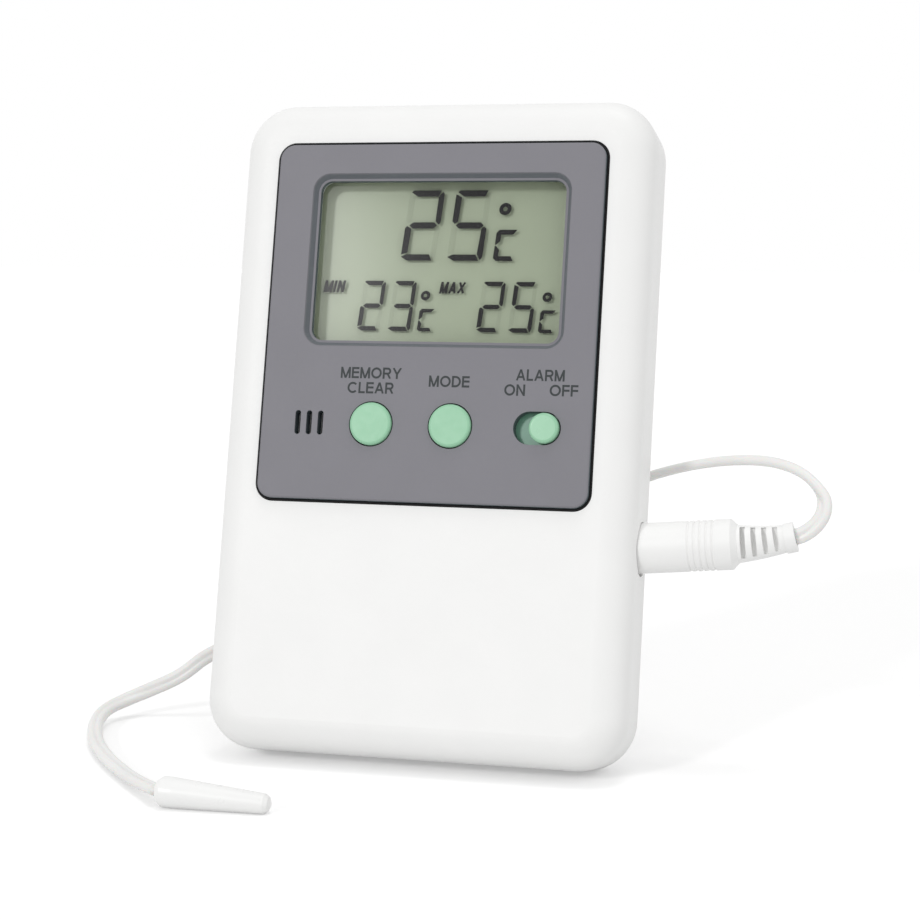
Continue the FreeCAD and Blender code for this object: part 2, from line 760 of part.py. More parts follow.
def bezel_panel():
    """Grey panel: bevelled and stepped window, key holes, switch slot, sound slots."""
    body = new_body("bezel_panel")
    sketch = new_sketch(body, "XZ_Plane", "-panel_proud")
    rounded(sketch, PANEL_LEFT, PANEL_RIGHT, PANEL_LOW, PANEL_HIGH, "panel_corner")
    plate = pad(body, sketch, "panel_proud + panel_seat")
    fillet(body, plate, "panel_edge", at_depth("-panel_proud"))
    sketch = new_sketch(body, "XZ_Plane", "-panel_proud")
    window(sketch, "0", "window_corner")
    taper = "-1 * atan(sizes.window_bevel / sizes.window_step)"
    pocket(body, sketch, "window_step", taper=taper)
    sketch = new_sketch(body, "XZ_Plane", "-panel_proud")
    window(sketch, WINDOW_INNER, f"window_corner - ({WINDOW_INNER})")
    pocket(body, sketch, "panel_proud + panel_seat + 1")
    sketch = new_sketch(body, "XZ_Plane", "-panel_proud")
    at_buttons(sketch, "button_radius + button_gap")
    at_sound_slots(sketch)
    slot(
        sketch,
        (f"{SLOT_SIDE} - slide_travel / 2", KEY_ROW),
        (f"{SLOT_SIDE} + slide_travel / 2", KEY_ROW),
        SLOT_WIDTH,
    )
    pocket(body, sketch, "panel_proud + panel_seat + 1")


def layer(label, front, thick, left, right, bottom, top):
    """A plain rectangular piece that lies flat in the case, from depth `front` back."""
    body = new_body(label)
    sketch = new_sketch(body, "XZ_Plane", front)
    rectangle(sketch, left, right, bottom, top)
    pad(body, sketch, thick)
    return body


def display():
    """The two glasses, the reflector behind them, the rubber connector and the holder."""
    layer(
        "lcd_front_glass", "glass_depth", "front_glass",
        GLASS_LEFT, GLASS_RIGHT, GLASS_BOTTOM, GLASS_TOP,
    )
    layer(
        "lcd_rear_glass", REAR_GLASS_DEPTH, "rear_glass",
        GLASS_LEFT, GLASS_RIGHT, REAR_GLASS_BOTTOM, GLASS_TOP,
    )
    layer(
        "lcd_reflector", REFLECTOR_DEPTH, "reflector_thick",
        GLASS_LEFT, GLASS_RIGHT, REAR_GLASS_BOTTOM, GLASS_TOP,
    )
    layer(
        "zebra_connector", REAR_GLASS_DEPTH, "rear_glass + reflector_thick + holder_base",
        "window_side - strip_length / 2", "window_side + strip_length / 2",
        STRIP_BOTTOM, f"{STRIP_BOTTOM} + strip_width",
    )
    body = layer(
        "lcd_holder", "face_wall + key_play", f"{BOARD_DEPTH} - face_wall - key_play",
        f"{GLASS_LEFT} - cell_gap - holder_wall", f"{GLASS_RIGHT} + cell_gap + holder_wall",
        f"{GLASS_BOTTOM} - cell_gap - holder_wall", f"{GLASS_TOP} + cell_gap + holder_wall",
    )
    sketch = new_sketch(body, "XZ_Plane", "face_wall")
    rectangle(
        sketch, f"{GLASS_LEFT} - cell_gap", f"{GLASS_RIGHT} + cell_gap",
        f"{GLASS_BOTTOM} - cell_gap", f"{GLASS_TOP} + cell_gap",
    )
    pocket(body, sketch, f"{HOLDER_DEPTH} - face_wall")
    sketch = new_sketch(body, "XZ_Plane", "face_wall")
    rectangle(
        sketch,
        "window_side - strip_length / 2 - cell_gap", "window_side + strip_length / 2 + cell_gap",
        f"{STRIP_BOTTOM} - cell_gap", f"{STRIP_BOTTOM} + strip_width + cell_gap",
    )
    pocket(body, sketch, BOARD_DEPTH)


def circuit_board():
    """The board, with the tab that carries the jack, and what is soldered to its back."""
    body = new_body("circuit_board")
    sketch = new_sketch(body, "XZ_Plane", BOARD_DEPTH)
    polygon(
        sketch,
        [
            (f"-{BOARD_SIDE}", BOARD_BOTTOM),
            (TAB_LEFT, BOARD_BOTTOM),
            (TAB_LEFT, TAB_BOTTOM),
            (TAB_RIGHT, TAB_BOTTOM),
            (TAB_RIGHT, f"{BOARD_BOTTOM} + board_flare"),
            (BOARD_SIDE, f"{BOARD_BOTTOM} + board_flare * 1.5"),
            (BOARD_SIDE, BOARD_TOP),
            (f"-{BOARD_SIDE}", BOARD_TOP),
        ],
    )
    pad(body, sketch, "board_thick")
    body = new_body("controller_chip")
    sketch = new_sketch(body, "XZ_Plane", BOARD_BACK)
    circle(sketch, "-chip_side", f"{WINDOW_MIDDLE} - chip_drop", "chip_radius")
    blob = pad(body, sketch, "chip_tall")
    fillet(body, blob, "chip_tall * 0.7", at_depth(f"{BOARD_BACK} + chip_tall"))
    body = new_body("timing_crystal")
    sketch = new_sketch(body, "XY_Plane", f"{KEY_ROW} + crystal_rise")
    circle(sketch, "crystal_side", f"{BOARD_BACK} + crystal_radius", "crystal_radius")
    pad(body, sketch, "crystal_length", towards_back=False)


# ---------------------------------------------------------------------------
# keys, slide switch and sounder
# ---------------------------------------------------------------------------


def key(name, side):
    """A push key, the plunger it bears on and the tact switch behind it."""
    body = new_body(f"{name}_button")
    front = "-panel_proud - button_proud"
    sketch = new_sketch(body, "XZ_Plane", front)
    circle(sketch, side, KEY_ROW, "button_radius")
    cap = pad(body, sketch, f"panel_proud + button_proud + {PLUNGER_DEPTH}")
    fillet(body, cap, "button_edge", at_depth(front))
    sketch = new_sketch(body, "XZ_Plane", FLANGE_DEPTH)
    circle(sketch, side, KEY_ROW, "flange_radius")
    pad(body, sketch, "flange_thick")

    body = new_body(f"{name}_plunger")
    sketch = new_sketch(body, "XZ_Plane", PLUNGER_DEPTH)
    circle(sketch, side, KEY_ROW, "plunger_radius")
    pad(body, sketch, "plunger_reach + plunger_sunk")

    half = "key_switch_side / 2"
    body = layer(
        f"{name}_switch", KEY_SWITCH_DEPTH, f"{BOARD_DEPTH} - ({KEY_SWITCH_DEPTH})",
        f"{side} - {half}", f"{side} + {half}",
        f"{KEY_ROW} - {half}", f"{KEY_ROW} + {half}",
    )
    sketch = new_sketch(body, "XZ_Plane", KEY_SWITCH_DEPTH)
    circle(sketch, side, KEY_ROW, "plunger_radius + key_well_gap")
    pocket(body, sketch, "plunger_sunk + plunger_reach - 0.1")


def slide_switch():
    """Alarm slider with its fork, the lever it carries along and the switch on the board."""
    body = new_body("alarm_slider")
    plate_front = "panel_seat + slide_play"
    plate_back = "face_wall - slide_play"
    sketch = new_sketch(body, "XZ_Plane", plate_front)
    rectangle(
        sketch,
        f"{KNOB_SIDE} - {SLIDE_HALF}", f"{KNOB_SIDE} + {SLIDE_HALF}",
        f"{KEY_ROW} - {SLIDE_HALF_WIDTH}", f"{KEY_ROW} + {SLIDE_HALF_WIDTH}",
    )
    pad(body, sketch, f"{plate_back} - ({plate_front})")
    knob_front = "-panel_proud - knob_proud"
    sketch = new_sketch(body, "XZ_Plane", knob_front)
    circle(sketch, KNOB_SIDE, KEY_ROW, "knob_radius")
    knob = pad(body, sketch, f"panel_proud + knob_proud + {plate_back}")
    fillet(body, knob, "button_edge", at_depth(knob_front))
    sketch = new_sketch(body, "XZ_Plane", f"{plate_back} - 0.5")
    inner = "lever_length / 2 + lever_gap"
    for way in ("-", "+"):
        near, far = f"{KNOB_SIDE} {way} ({inner})", f"{KNOB_SIDE} {way} ({inner} + fork_prong)"
        rectangle(
            sketch, near, far, f"{KEY_ROW} - fork_width / 2", f"{KEY_ROW} + fork_width / 2"
        )
    pad(body, sketch, "fork_reach + 0.5")

    switch_front = f"{BOARD_DEPTH} - switch_tall"
    half = "lever_length / 2"
    layer(
        "alarm_switch_lever", "lever_front", f"{switch_front} - lever_front + lever_sunk",
        f"{KNOB_SIDE} - {half}", f"{KNOB_SIDE} + {half}",
        f"{KEY_ROW} - lever_width / 2", f"{KEY_ROW} + lever_width / 2",
    )
    middle = SLOT_SIDE
    body = layer(
        "alarm_switch", switch_front, "switch_tall",
        f"{middle} - switch_length / 2", f"{middle} + switch_length / 2",
        f"{KEY_ROW} - switch_width / 2", f"{KEY_ROW} + switch_width / 2",
    )
    sketch = new_sketch(body, "XZ_Plane", switch_front)
    rectangle(
        sketch,
        f"{middle} - slide_travel / 2 - {half} - 0.1",
        f"{middle} + slide_travel / 2 + {half} + 0.1",
        f"{KEY_ROW} - lever_width / 2 - lever_gap",
        f"{KEY_ROW} + lever_width / 2 + lever_gap",
    )
    pocket(body, sketch, "switch_well")


def sounder():
    """Thin brass disc on its ring behind the sound slots, with the ceramic on its back."""
    seat = "face_wall + sounder_ring"
    for label, front, thick, radius in [
        ("sounder_disc", seat, "brass_thick", "sounder_radius"),
        ("sounder_ceramic", f"{seat} + brass_thick", "ceramic_thick", "ceramic_radius"),
    ]:
        body = new_body(label)
        sketch = new_sketch(body, "XZ_Plane", front)
        circle(sketch, SOUNDER_SIDE, KEY_ROW, radius)
        pad(body, sketch, thick)


# ---------------------------------------------------------------------------
# battery and door
# ---------------------------------------------------------------------------

def battery():
    """AAA cell turned about its own axis, its two contact plates and the coil spring."""
    body = new_body("battery_cell")
    sketch = new_sketch(body, "XZ_Plane", "0")
    polygon(
        sketch,
        [
            ("0", "0"),
            ("0", "cell_radius - 0.4"),
            ("0.4", "cell_radius"),
            ("cell_barrel - 0.6", "cell_radius"),
            ("cell_barrel", "cell_radius - 0.6"),
            ("cell_barrel", "nub_radius"),
            ("cell_barrel + nub_length", "nub_radius"),
            ("cell_barrel + nub_length", "0"),
        ],
    )
    revolve(body, sketch)
    middle = Vector(number(CELL_LEFT), number(CELL_DEPTH), number(BAY_MIDDLE))
    body.Placement = case_frame * Placement(middle, Rotation())

    half_wide, half_tall = "contact_width / 2", "contact_tall / 2"
    for label, left in [("battery_minus_plate", BAY_LEFT), ("battery_plus_plate", PLUS_PLATE_LEFT)]:
        layer(
            label, f"{CELL_DEPTH} - {half_wide}", "contact_width",
            left, f"{left} + contact_thick",
            f"{BAY_MIDDLE} - {half_tall}", f"{BAY_MIDDLE} + {half_tall}",
        )


def rounded_route(points):
    """Straight runs joined by tangent arcs: the wire, and the radius of each arc.

    Each arc takes 0.45 of the shorter of its two runs on either side of its point.
    """
    spots = [Vector(*point) for point in points]
    edges, radii = [], []
    start = spots[0]
    for before, corner, after in zip(spots, spots[1:], spots[2:]):
        back, ahead = before - corner, after - corner
        cut = 0.45 * min(back.Length, ahead.Length)
        back.normalize()
        ahead.normalize()
        half_turn = (math.pi - back.getAngle(ahead)) / 2
        radius = cut / math.tan(half_turn)
        arc_start, arc_end = corner + back * cut, corner + ahead * cut
        middle_way = (back + ahead).normalize()
        centre_away = radius / math.cos(half_turn)
        arc_middle = corner + middle_way * (centre_away - radius)
        edges.append(Part.LineSegment(start, arc_start).toShape())
        edges.append(Part.Arc(arc_start, arc_middle, arc_end).toShape())
        radii.append(radius)
        start = arc_end
    edges.append(Part.LineSegment(start, spots[-1]).toShape())
    return Part.Wire(edges), radii


def swept(wire, radii, half):
    """A round rod of radius `half` along the wire: a cylinder for each run, a bend for each arc."""
    if min(radii) < half:
        raise ValueError(f"an arc of {min(radii):.2f} is tighter than the rod's {half:.2f}")
    first = wire.Edges[0]
    rim = Part.makeCircle(half, first.Vertexes[0].Point, first.tangentAt(first.FirstParameter))
    faces = [Part.Face(Part.Wire([rim]))]
    for edge in wire.Edges:
        if edge.Curve.TypeId == "Part::GeomLine":
            way = edge.Vertexes[1].Point - edge.Vertexes[0].Point
            faces += rim.extrude(way).Faces
            rim = rim.translated(way)
        else:
            middle, axis = edge.Curve.Center, edge.Curve.Axis
            turn = math.degrees(edge.Length / edge.Curve.Radius)
            faces += rim.revolve(middle, axis, turn).Faces
            rim = rim.rotated(middle, axis, turn)
    faces.append(Part.Face(Part.Wire([rim])))
    skin = Part.Shell(faces)
    skin.sewShape()
    rod = Part.Solid(skin)
    if rod.Volume < 0:
        rod.reverse()
    expected = math.pi * half ** 2 * wire.Length
    if abs(rod.Volume - expected) > 0.001 * expected:
        raise ValueError(f"swept volume {rod.Volume:.2f}, expected {expected:.2f}")
    return rod


def battery_spring():
    """A conical coil between the minus plate and the cell's flat end, as arcs along a helix."""
    wire = size("spring_wire")
    wide, narrow = size("spring_wide"), size("spring_narrow")
    free = size("bay_spring") - 2 * wire
    steps = round(size("spring_turns") * ARCS_A_TURN)
    helix = []
    for step in range(steps + 1):
        share = step / steps
        angle = 2 * math.pi * size("spring_turns") * share
        reach = wide + (narrow - wide) * share
        helix.append((reach * math.cos(angle), reach * math.sin(angle), free * share))
    spring = doc.addObject("Part::Feature", "battery_spring")
    spring.Shape = swept(*rounded_route(helix), wire)
    spring.Label = "battery_spring"
    spot = Vector(
        number(BAY_LEFT) + size("contact_thick") + wire,
        number(CELL_DEPTH),
        number(BAY_MIDDLE),
    )
    spring.Placement = case_frame * Placement(spot, Rotation(Vector(0, 1, 0), 90))
    nodes["battery_spring"] = spring


def battery_door():
    """Cover of the bay, with a grip of three grooves and two ribs that steady the cell."""
    body = new_body("battery_door")
    sketch = new_sketch(body, "XZ_Plane", "case_depth - door_thick")
    rounded(
        sketch,
        f"{BAY_LEFT} - door_lap",
        f"{BAY_RIGHT} + door_lap",
        f"{BAY_MIDDLE} - {BAY_HALF} - door_lap",
        f"{BAY_MIDDLE} + {BAY_HALF} + door_lap",
        "door_corner",
    )
    pad(body, sketch, "door_thick")
    rib_front = f"{CELL_DEPTH} + cell_radius + bay_back_gap"
    sketch = new_sketch(body, "XZ_Plane", rib_front)
    for share in ("0.25", "0.75"):
        spot = f"{CELL_LEFT} + {share} * cell_barrel"
        rectangle(
            sketch, f"{spot} - 0.6", f"{spot} + 0.6",
            f"{BAY_MIDDLE} - cell_radius * 0.6", f"{BAY_MIDDLE} + cell_radius * 0.6",
        )
    pad(body, sketch, f"case_depth - door_thick - ({rib_front}) + 0.3")
    sketch = new_sketch(body, "XZ_Plane", "case_depth - grip_depth")
    for index in (-1, 0, 1):
        spot = f"{BAY_RIGHT} - grip_length / 2 + {index} * grip_pitch"
        slot(
            sketch,
            (spot, f"{BAY_MIDDLE} - grip_width / 2"),
            (spot, f"{BAY_MIDDLE} + grip_width / 2"),
            "grip_depth * 2",
        )
    pocket(body, sketch, "grip_depth + 1")


# ---------------------------------------------------------------------------
# fold-out foot
# ---------------------------------------------------------------------------


def lean_frame():
    """Where the leaning case stands, and how far its foot is folded out.

    The case rests on its rounded rear bottom edge and on the rounded tip of the foot.
    """
    lean = math.radians(size("lean"))
    back_edge = size("case_depth") - size("rear_rounding")
    rise = back_edge * math.sin(lean) + size("rear_rounding") * (1 - math.cos(lean))
    axis_depth = number(HINGE_DEPTH)
    axis_up = size("foot_axis_height")
    axis_height = axis_up * math.cos(lean) - axis_depth * math.sin(lean) + rise
    axis_back = axis_up * math.sin(lean) + axis_depth * math.cos(lean)
    tip = size("foot_tip")
    reach = number(FOOT_LENGTH) - tip
    lift = size("foot_barrel") - tip
    turned = math.acos((tip - axis_height) / math.hypot(reach, lift)) - math.atan2(lift, reach)
    tip_back = axis_back + reach * math.sin(turned) + lift * math.cos(turned) + tip
    top_corner = size("case_height") - size("rear_rounding")
    top_back = top_corner * math.sin(lean) + back_edge * math.cos(lean) + size("rear_rounding")
    front = size("front_rounding") * (math.cos(lean) + math.sin(lean) - 1)
    middle = (front + max(top_back, tip_back)) / 2
    frame = Placement(Vector(0, -middle, rise), Rotation(Vector(1, 0, 0), -size("lean")))
    return frame, math.degrees(turned) - size("lean")


def fold_out_foot(opened):
    """Flap with its barrel and pins, drawn folded up from its own hinge axis, then opened."""
    body = new_body("fold_out_foot")
    front = "foot_barrel - foot_thick"
    sketch = new_sketch(body, "XZ_Plane", front)
    half = "foot_width / 2"
    rectangle(sketch, f"-{half}", half, "0", FOOT_LENGTH)
    flap = pad(body, sketch, "foot_thick")
    tip = number(FOOT_LENGTH)
    fillet(
        body, flap, "foot_tip",
        lambda spot: abs(spot.z - tip) < 0.01 and spot.y > 0,
    )
    sketch = new_sketch(body, "YZ_Plane", f"-{half}")
    circle(sketch, "0", "0", "foot_barrel")
    pad(body, sketch, "foot_width", towards_back=False)
    sketch = new_sketch(body, "YZ_Plane", f"-{half} - hinge_pin_reach")
    circle(sketch, "0", "0", "hinge_pin")
    pad(body, sketch, "foot_width + 2 * hinge_pin_reach", towards_back=False)
    sketch = new_sketch(body, "XZ_Plane", "-foot_barrel")
    circle(sketch, "0", f"{FOOT_LENGTH} + foot_scoop / 3", "foot_scoop")
    pocket(body, sketch, "3 * foot_barrel")
    hinge = Vector(0, number(HINGE_DEPTH), size("foot_axis_height"))
    body.Placement = case_frame * Placement(hinge, Rotation(Vector(1, 0, 0), -opened))


def case_screws():
    """Four pan head screws, one group."""
    body = new_body("case_screws")
    sketch = new_sketch(body, "XZ_Plane", "head_seat")
    at_screws(sketch, "head_radius")
    pad(body, sketch, "head_thick")
    sketch = new_sketch(body, "XZ_Plane", "head_seat - screw_length")
    at_screws(sketch, "screw_radius")
    pad(body, sketch, "screw_length + 0.5")
    return body


# ---------------------------------------------------------------------------
# jack, plug and lead
# ---------------------------------------------------------------------------


def jack_socket():
    """Block on the board's tab, with the bore that takes the plug's pin."""
    body = new_body("jack_socket")
    sketch = new_sketch(body, "YZ_Plane", "-jack_body_front - jack_body_length")
    half_deep = f"({JACK_DEPTH} - {BOARD_BACK})"
    half_tall = "jack_body_tall / 2"
    rectangle(sketch, f"-{half_deep}", half_deep, f"-{half_tall}", half_tall)
    pad(body, sketch, "jack_body_length", towards_back=False)
    sketch = new_sketch(body, "YZ_Plane", "1 - jack_body_front")
    circle(sketch, "0", "0", "pin_radius + jack_bore_gap")
    pocket(body, sketch, "pin_length + 1 - jack_body_front + 0.3")
    body.Placement = jack_frame


def plug():
    """Pin in three parts, and the grip with its fine ribs."""
    body = new_body("plug_sleeve")
    sketch = new_sketch(body, "XZ_Plane", "0")
    ring_at = "-pin_length + pin_tip_length + pin_ring_length"
    rectangle(sketch, ring_at, "pin_root", "0", "pin_radius")
    revolve(body, sketch)
    body.Placement = jack_frame

    body = new_body("plug_insulator")
    sketch = new_sketch(body, "XZ_Plane", "0")
    rectangle(sketch, "-pin_length + pin_tip_length", ring_at, "0", "pin_radius - 0.05")
    revolve(body, sketch)
    body.Placement = jack_frame

    body = new_body("plug_tip")
    sketch = new_sketch(body, "XZ_Plane", "0")
    polygon(
        sketch,
        [
            ("-pin_length", "0"),
            ("-pin_length", "pin_radius * 0.3"),
            ("-pin_length + pin_tip_length * 0.35", "pin_radius"),
            ("-pin_length + pin_tip_length * 0.6", "pin_radius * 0.7"),
            ("-pin_length + pin_tip_length * 0.8", "pin_radius"),
            ("-pin_length + pin_tip_length", "pin_radius"),
            ("-pin_length + pin_tip_length", "0"),
        ],
    )
    revolve(body, sketch)
    body.Placement = jack_frame

    body = new_body("plug_grip")
    sketch = new_sketch(body, "XZ_Plane", "0")
    profile = [("0", "pin_radius"), ("0", "plug_radius - 0.3"), ("0.3", "plug_radius")]
    for index in range(RIB_COUNT):
        start = f"rib_start + {index} * rib_pitch"
        profile += [
            (start, "plug_radius"),
            (f"{start} + rib_pitch * 0.25", "plug_radius - rib_depth"),
            (f"{start} + rib_pitch * 0.5", "plug_radius"),
        ]
    profile += [
        ("plug_length - plug_chamfer", "plug_radius"),
        ("plug_length", "plug_radius - plug_chamfer"),
        ("plug_length", "0"),
        ("pin_root", "0"),
        ("pin_root", "pin_radius"),
    ]
    polygon(sketch, profile)
    revolve(body, sketch)
    body.Placement = jack_frame


def relief_centre(along):
    """Place and tilt of the strain relief's bending middle line, `along` it from the grip."""
    turn = f"(relief_bend * ({along}) / relief_length)"
    return f"plug_length + {along}", f"({along}) * sin({turn} / 2)", turn


def relief_ring(body, along, radius):
    """A round section of the strain relief, square to its bending middle line."""
    at, lift, turn = relief_centre(along)
    sketch = new_sketch(body, "YZ_Plane", at)
    sketch.AttachmentOffset = Placement(Vector(), Rotation(Vector(1, 0, 0), -1))
    sketch.setExpression("AttachmentOffset.Base.y", tied(lift))
    sketch.setExpression("AttachmentOffset.Base.z", tied(at))
    sketch.setExpression("AttachmentOffset.Rotation.Angle", tied(f"-{turn}"))
    circle(sketch, "0", "0", radius)
    return sketch


def strain_relief():
    """Tapered sleeve that bends with the lead, open in slots on two sides, with an end ring."""
    body = new_body("strain_relief")
    taper = "(relief_length - relief_ring)"
    for start, end, wide, narrow in [
        ("0", taper, "relief_start", "relief_end"),
        (taper, "relief_length", "relief_collar", "relief_collar"),
    ]:
        half_way = f"(({start}) + ({end})) / 2"
        rings = [
            relief_ring(body, start, wide),
            relief_ring(body, half_way, f"({wide} + {narrow}) / 2"),
            relief_ring(body, end, narrow),
        ]
        sleeve = body.newObject("PartDesign::AdditiveLoft", f"{body.Name}_sleeve")
        sleeve.Profile = rings[0]
        sleeve.Sections = rings[1:]
        for ring in rings:
            ring.Visibility = False
    for index in range(RELIEF_SLOTS):
        along = f"(relief_lead + {index} * relief_pitch)"
        at, lift, turn = relief_centre(along)
        reach = f"(relief_start - (relief_start - relief_end) * {along} / {taper} - relief_skin)"
        lean = f"{reach} * sin({turn})"
        for depth in ("-relief_start - relief_skin", "relief_web"):
            sketch = new_sketch(body, "XZ_Plane", depth)
            polygon(
                sketch,
                [
                    (f"{at} - relief_slot / 2 + {lean}", f"{lift} - {reach}"),
                    (f"{at} + relief_slot / 2 + {lean}", f"{lift} - {reach}"),
                    (f"{at} + relief_slot / 2 - {lean}", f"{lift} + {reach}"),
                    (f"{at} - relief_slot / 2 - {lean}", f"{lift} + {reach}"),
                ],
            )
            pocket(body, sketch, "relief_start + relief_skin - relief_web")
    body.Placement = jack_frame


def cord_tube(label, points):
    """A plain round tube along the route, checked against section times length."""
    wire, radii = rounded_route(points)
    print(label, "length", round(wire.Length, 1), "radii", [round(r, 1) for r in radii])
    cord = doc.addObject("Part::Feature", label)
    cord.Shape = swept(wire, radii, size("cord_size") / 2)
    cord.Label = label
    nodes[label] = cord


# Route of the lead in the finished frame, millimetres.  It curls back over the plug, passes
# behind the case and drops to the tied coil; from the coil it runs forward to the probe.
COIL_CENTRE = (-16.0, 72.0)
PLUG_SIDE_ROUTE = [
    (62.7, -3.2, 40.8),
    (63.6, -1.9, 43.0),
    (62.9, 0.0, 45.3),
    (59.6, 2.2, 48.2),
    (54.3, 4.8, 49.5),
    (47.0, 7.6, 49.1),
    (38.7, 10.6, 47.3),
    (30.1, 13.8, 44.2),
    (21.9, 18.7, 38.9),
    (12.9, 26.2, 30.0),
    (7.4, 37.4, 19.4),
    (5.6, 50.4, 10.4),
]
PROBE_SIDE_ROUTE = [
    (-35.2, 54.0, 12.2),
    (-34.2, 40.8, 12.8),
    (-34.8, 28.2, 13.4),
    (-38.4, 17.2, 13.6),
    (-45.4, 11.0, 11.3),
    (-50.0, 9.6, 7.2),
    (-55.3, 8.0, 4.8),
    (-58.7, 5.8, 3.4),
    (-61.1, 1.3, 2.4),
    (-60.4, -4.2, 1.5),
    (-57.9, -10.2, 1.3),
    (-54.6, -16.7, 1.3),
    (-50.3, -23.2, 1.3),
    (-45.3, -29.6, 1.3),
    (-39.8, -35.9, 1.4),
    (-34.9, -41.2, 1.9),
]
PROBE_START = (-31.3, -45.1)
PROBE_WAY = (0.9995, 0.032)
# lying on its taper, the probe tips its middle line down towards the tip
PROBE_TAPER = "(probe_length - probe_tip * 0.6 - probe_collar)"
PROBE_DROP = f"atan((probe_radius - probe_tip) / {PROBE_TAPER})"
PROBE_HEIGHT = f"(probe_radius * cos({PROBE_DROP}) + probe_collar * sin({PROBE_DROP}))"
TIE_TURNED = 170


def lead():
    """The two stretches of the lead, the coil between them, its tie and the probe."""
    at, lift, turn = relief_centre("relief_length")
    relief_end = Vector(number(at), 0, number(lift))
    straight_out = Vector(number(f"cord_exit * cos({turn})"), 0, number(f"cord_exit * sin({turn})"))
    from_plug = [jack_frame.multVec(spot) for spot in (relief_end, relief_end + straight_out)]
    # the first turn lies at the coil's bottom, the last on its top, both on its outside
    outside = number("coil_mean + coil_tall / 2 - cord_size / 2")
    middle_x, middle_y = COIL_CENTRE
    lowest = number("tie_thick + cord_size / 2")
    highest = number("tie_thick + coil_tall - cord_size / 2")
    entry = (middle_x + outside, middle_y - size("coil_lead_in"), lowest)
    leaving = (middle_x - outside, middle_y - size("coil_lead_in"), highest)
    probe_back = (*PROBE_START, number(PROBE_HEIGHT))
    cord_tube("cord_plug_side", [*from_plug, *PLUG_SIDE_ROUTE, entry])
    cord_tube("cord_probe_side", [leaving, *PROBE_SIDE_ROUTE, probe_back])

    for label, outer, inner, turned in [
        ("cord_coil", "0", None, "360"),
        ("coil_tie", "tie_thick", "0", "tie_turn"),
    ]:
        body = new_body(label)
        sketch = new_sketch(body, "XZ_Plane", "0")
        for spread in filter(None, (outer, inner)):
            coil_section(sketch, spread)
        ring = body.newObject("PartDesign::Revolution", f"{label}_turned")
        ring.Profile = sketch
        ring.ReferenceAxis = (sketch, ["V_Axis"])
        ring.setExpression("Angle", tied(turned))
        body.Placement = Placement(
            Vector(middle_x, middle_y, size("tie_thick")), Rotation(Vector(0, 0, 1), TIE_TURNED)
        )


def coil_section(sketch, spread):
    """The wound bundle's cut face: a square with its corners cut off, `spread` larger."""
    half = f"(coil_tall / 2 + {spread})"
    flat = f"({half} - coil_corner - {spread} * (2 - sqrt(2)))"
    side, middle = "coil_mean", "coil_tall / 2"
    polygon(
        sketch,
        [
            (f"{side} - {half}", f"{middle} - {flat}"),
            (f"{side} - {flat}", f"{middle} - {half}"),
            (f"{side} + {flat}", f"{middle} - {half}"),
            (f"{side} + {half}", f"{middle} - {flat}"),
            (f"{side} + {half}", f"{middle} + {flat}"),
            (f"{side} + {flat}", f"{middle} + {half}"),
            (f"{side} - {flat}", f"{middle} + {half}"),
            (f"{side} - {half}", f"{middle} + {flat}"),
        ],
    )


def probe():
    """Moulded sensor: chamfered collar at the lead, long taper, rounded tip."""
    body = new_body("temperature_probe")
    sketch = new_sketch(body, "XZ_Plane", "0")
    polygon(
        sketch,
        [
            ("0", "0"),
            ("0", "probe_neck"),
            ("probe_collar * 0.3", "probe_radius"),
            ("probe_collar", "probe_radius"),
            ("probe_length - probe_tip * 0.6", "probe_tip"),
            ("probe_length - probe_tip * 0.2", "probe_tip * 0.75"),
            ("probe_length", "probe_tip * 0.3"),
            ("probe_length", "0"),
        ],
    )
    revolve(body, sketch)
    turn = math.degrees(math.atan2(PROBE_WAY[1], PROBE_WAY[0]))
    body.Placement = Placement(
        Vector(*PROBE_START, number(PROBE_HEIGHT)), Rotation(turn, number(PROBE_DROP), 0)
    )


# ---------------------------------------------------------------------------
# build, check and write
# ---------------------------------------------------------------------------

case_frame, foot_angle = lean_frame()
jack_mouth = Vector(number(JACK_MOUTH), number(JACK_DEPTH), number(JACK_HEIGHT))
jack_frame = case_frame * Placement(jack_mouth, Rotation(Vector(0, 1, 0), -size("jack_tilt")))

front_case()
rear_case()
bezel_panel()
display()
circuit_board()
key("memory_clear", CLEAR_SIDE)
key("mode", "mode_side")
slide_switch()
sounder()
battery()
battery_door()
case_screws()
for leaning in nodes.values():
    if leaning.Placement.isIdentity():
        leaning.Placement = case_frame
battery_spring()
fold_out_foot(foot_angle)
jack_socket()
plug()
strain_relief()
lead()
probe()
doc.recompute()

for item in doc.Objects:
    if {"Invalid", "Error"} & set(item.State):
        raise RuntimeError(f"{item.Label} failed: {item.State}")
for label, node in nodes.items():
    if node.Shape.isNull() or not node.Shape.isValid():
        raise RuntimeError(f"{label} has no valid shape")

os.makedirs("parts", exist_ok=True)
for label, node in nodes.items():
    node.Shape.exportStep(f"parts/{label}.step")
print("foot opened by", round(foot_angle, 2), "degrees")
print(len(nodes), "nodes written")
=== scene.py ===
"""A maximum minimum thermometer with a probe on a long lead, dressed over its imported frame."""

import json
import math

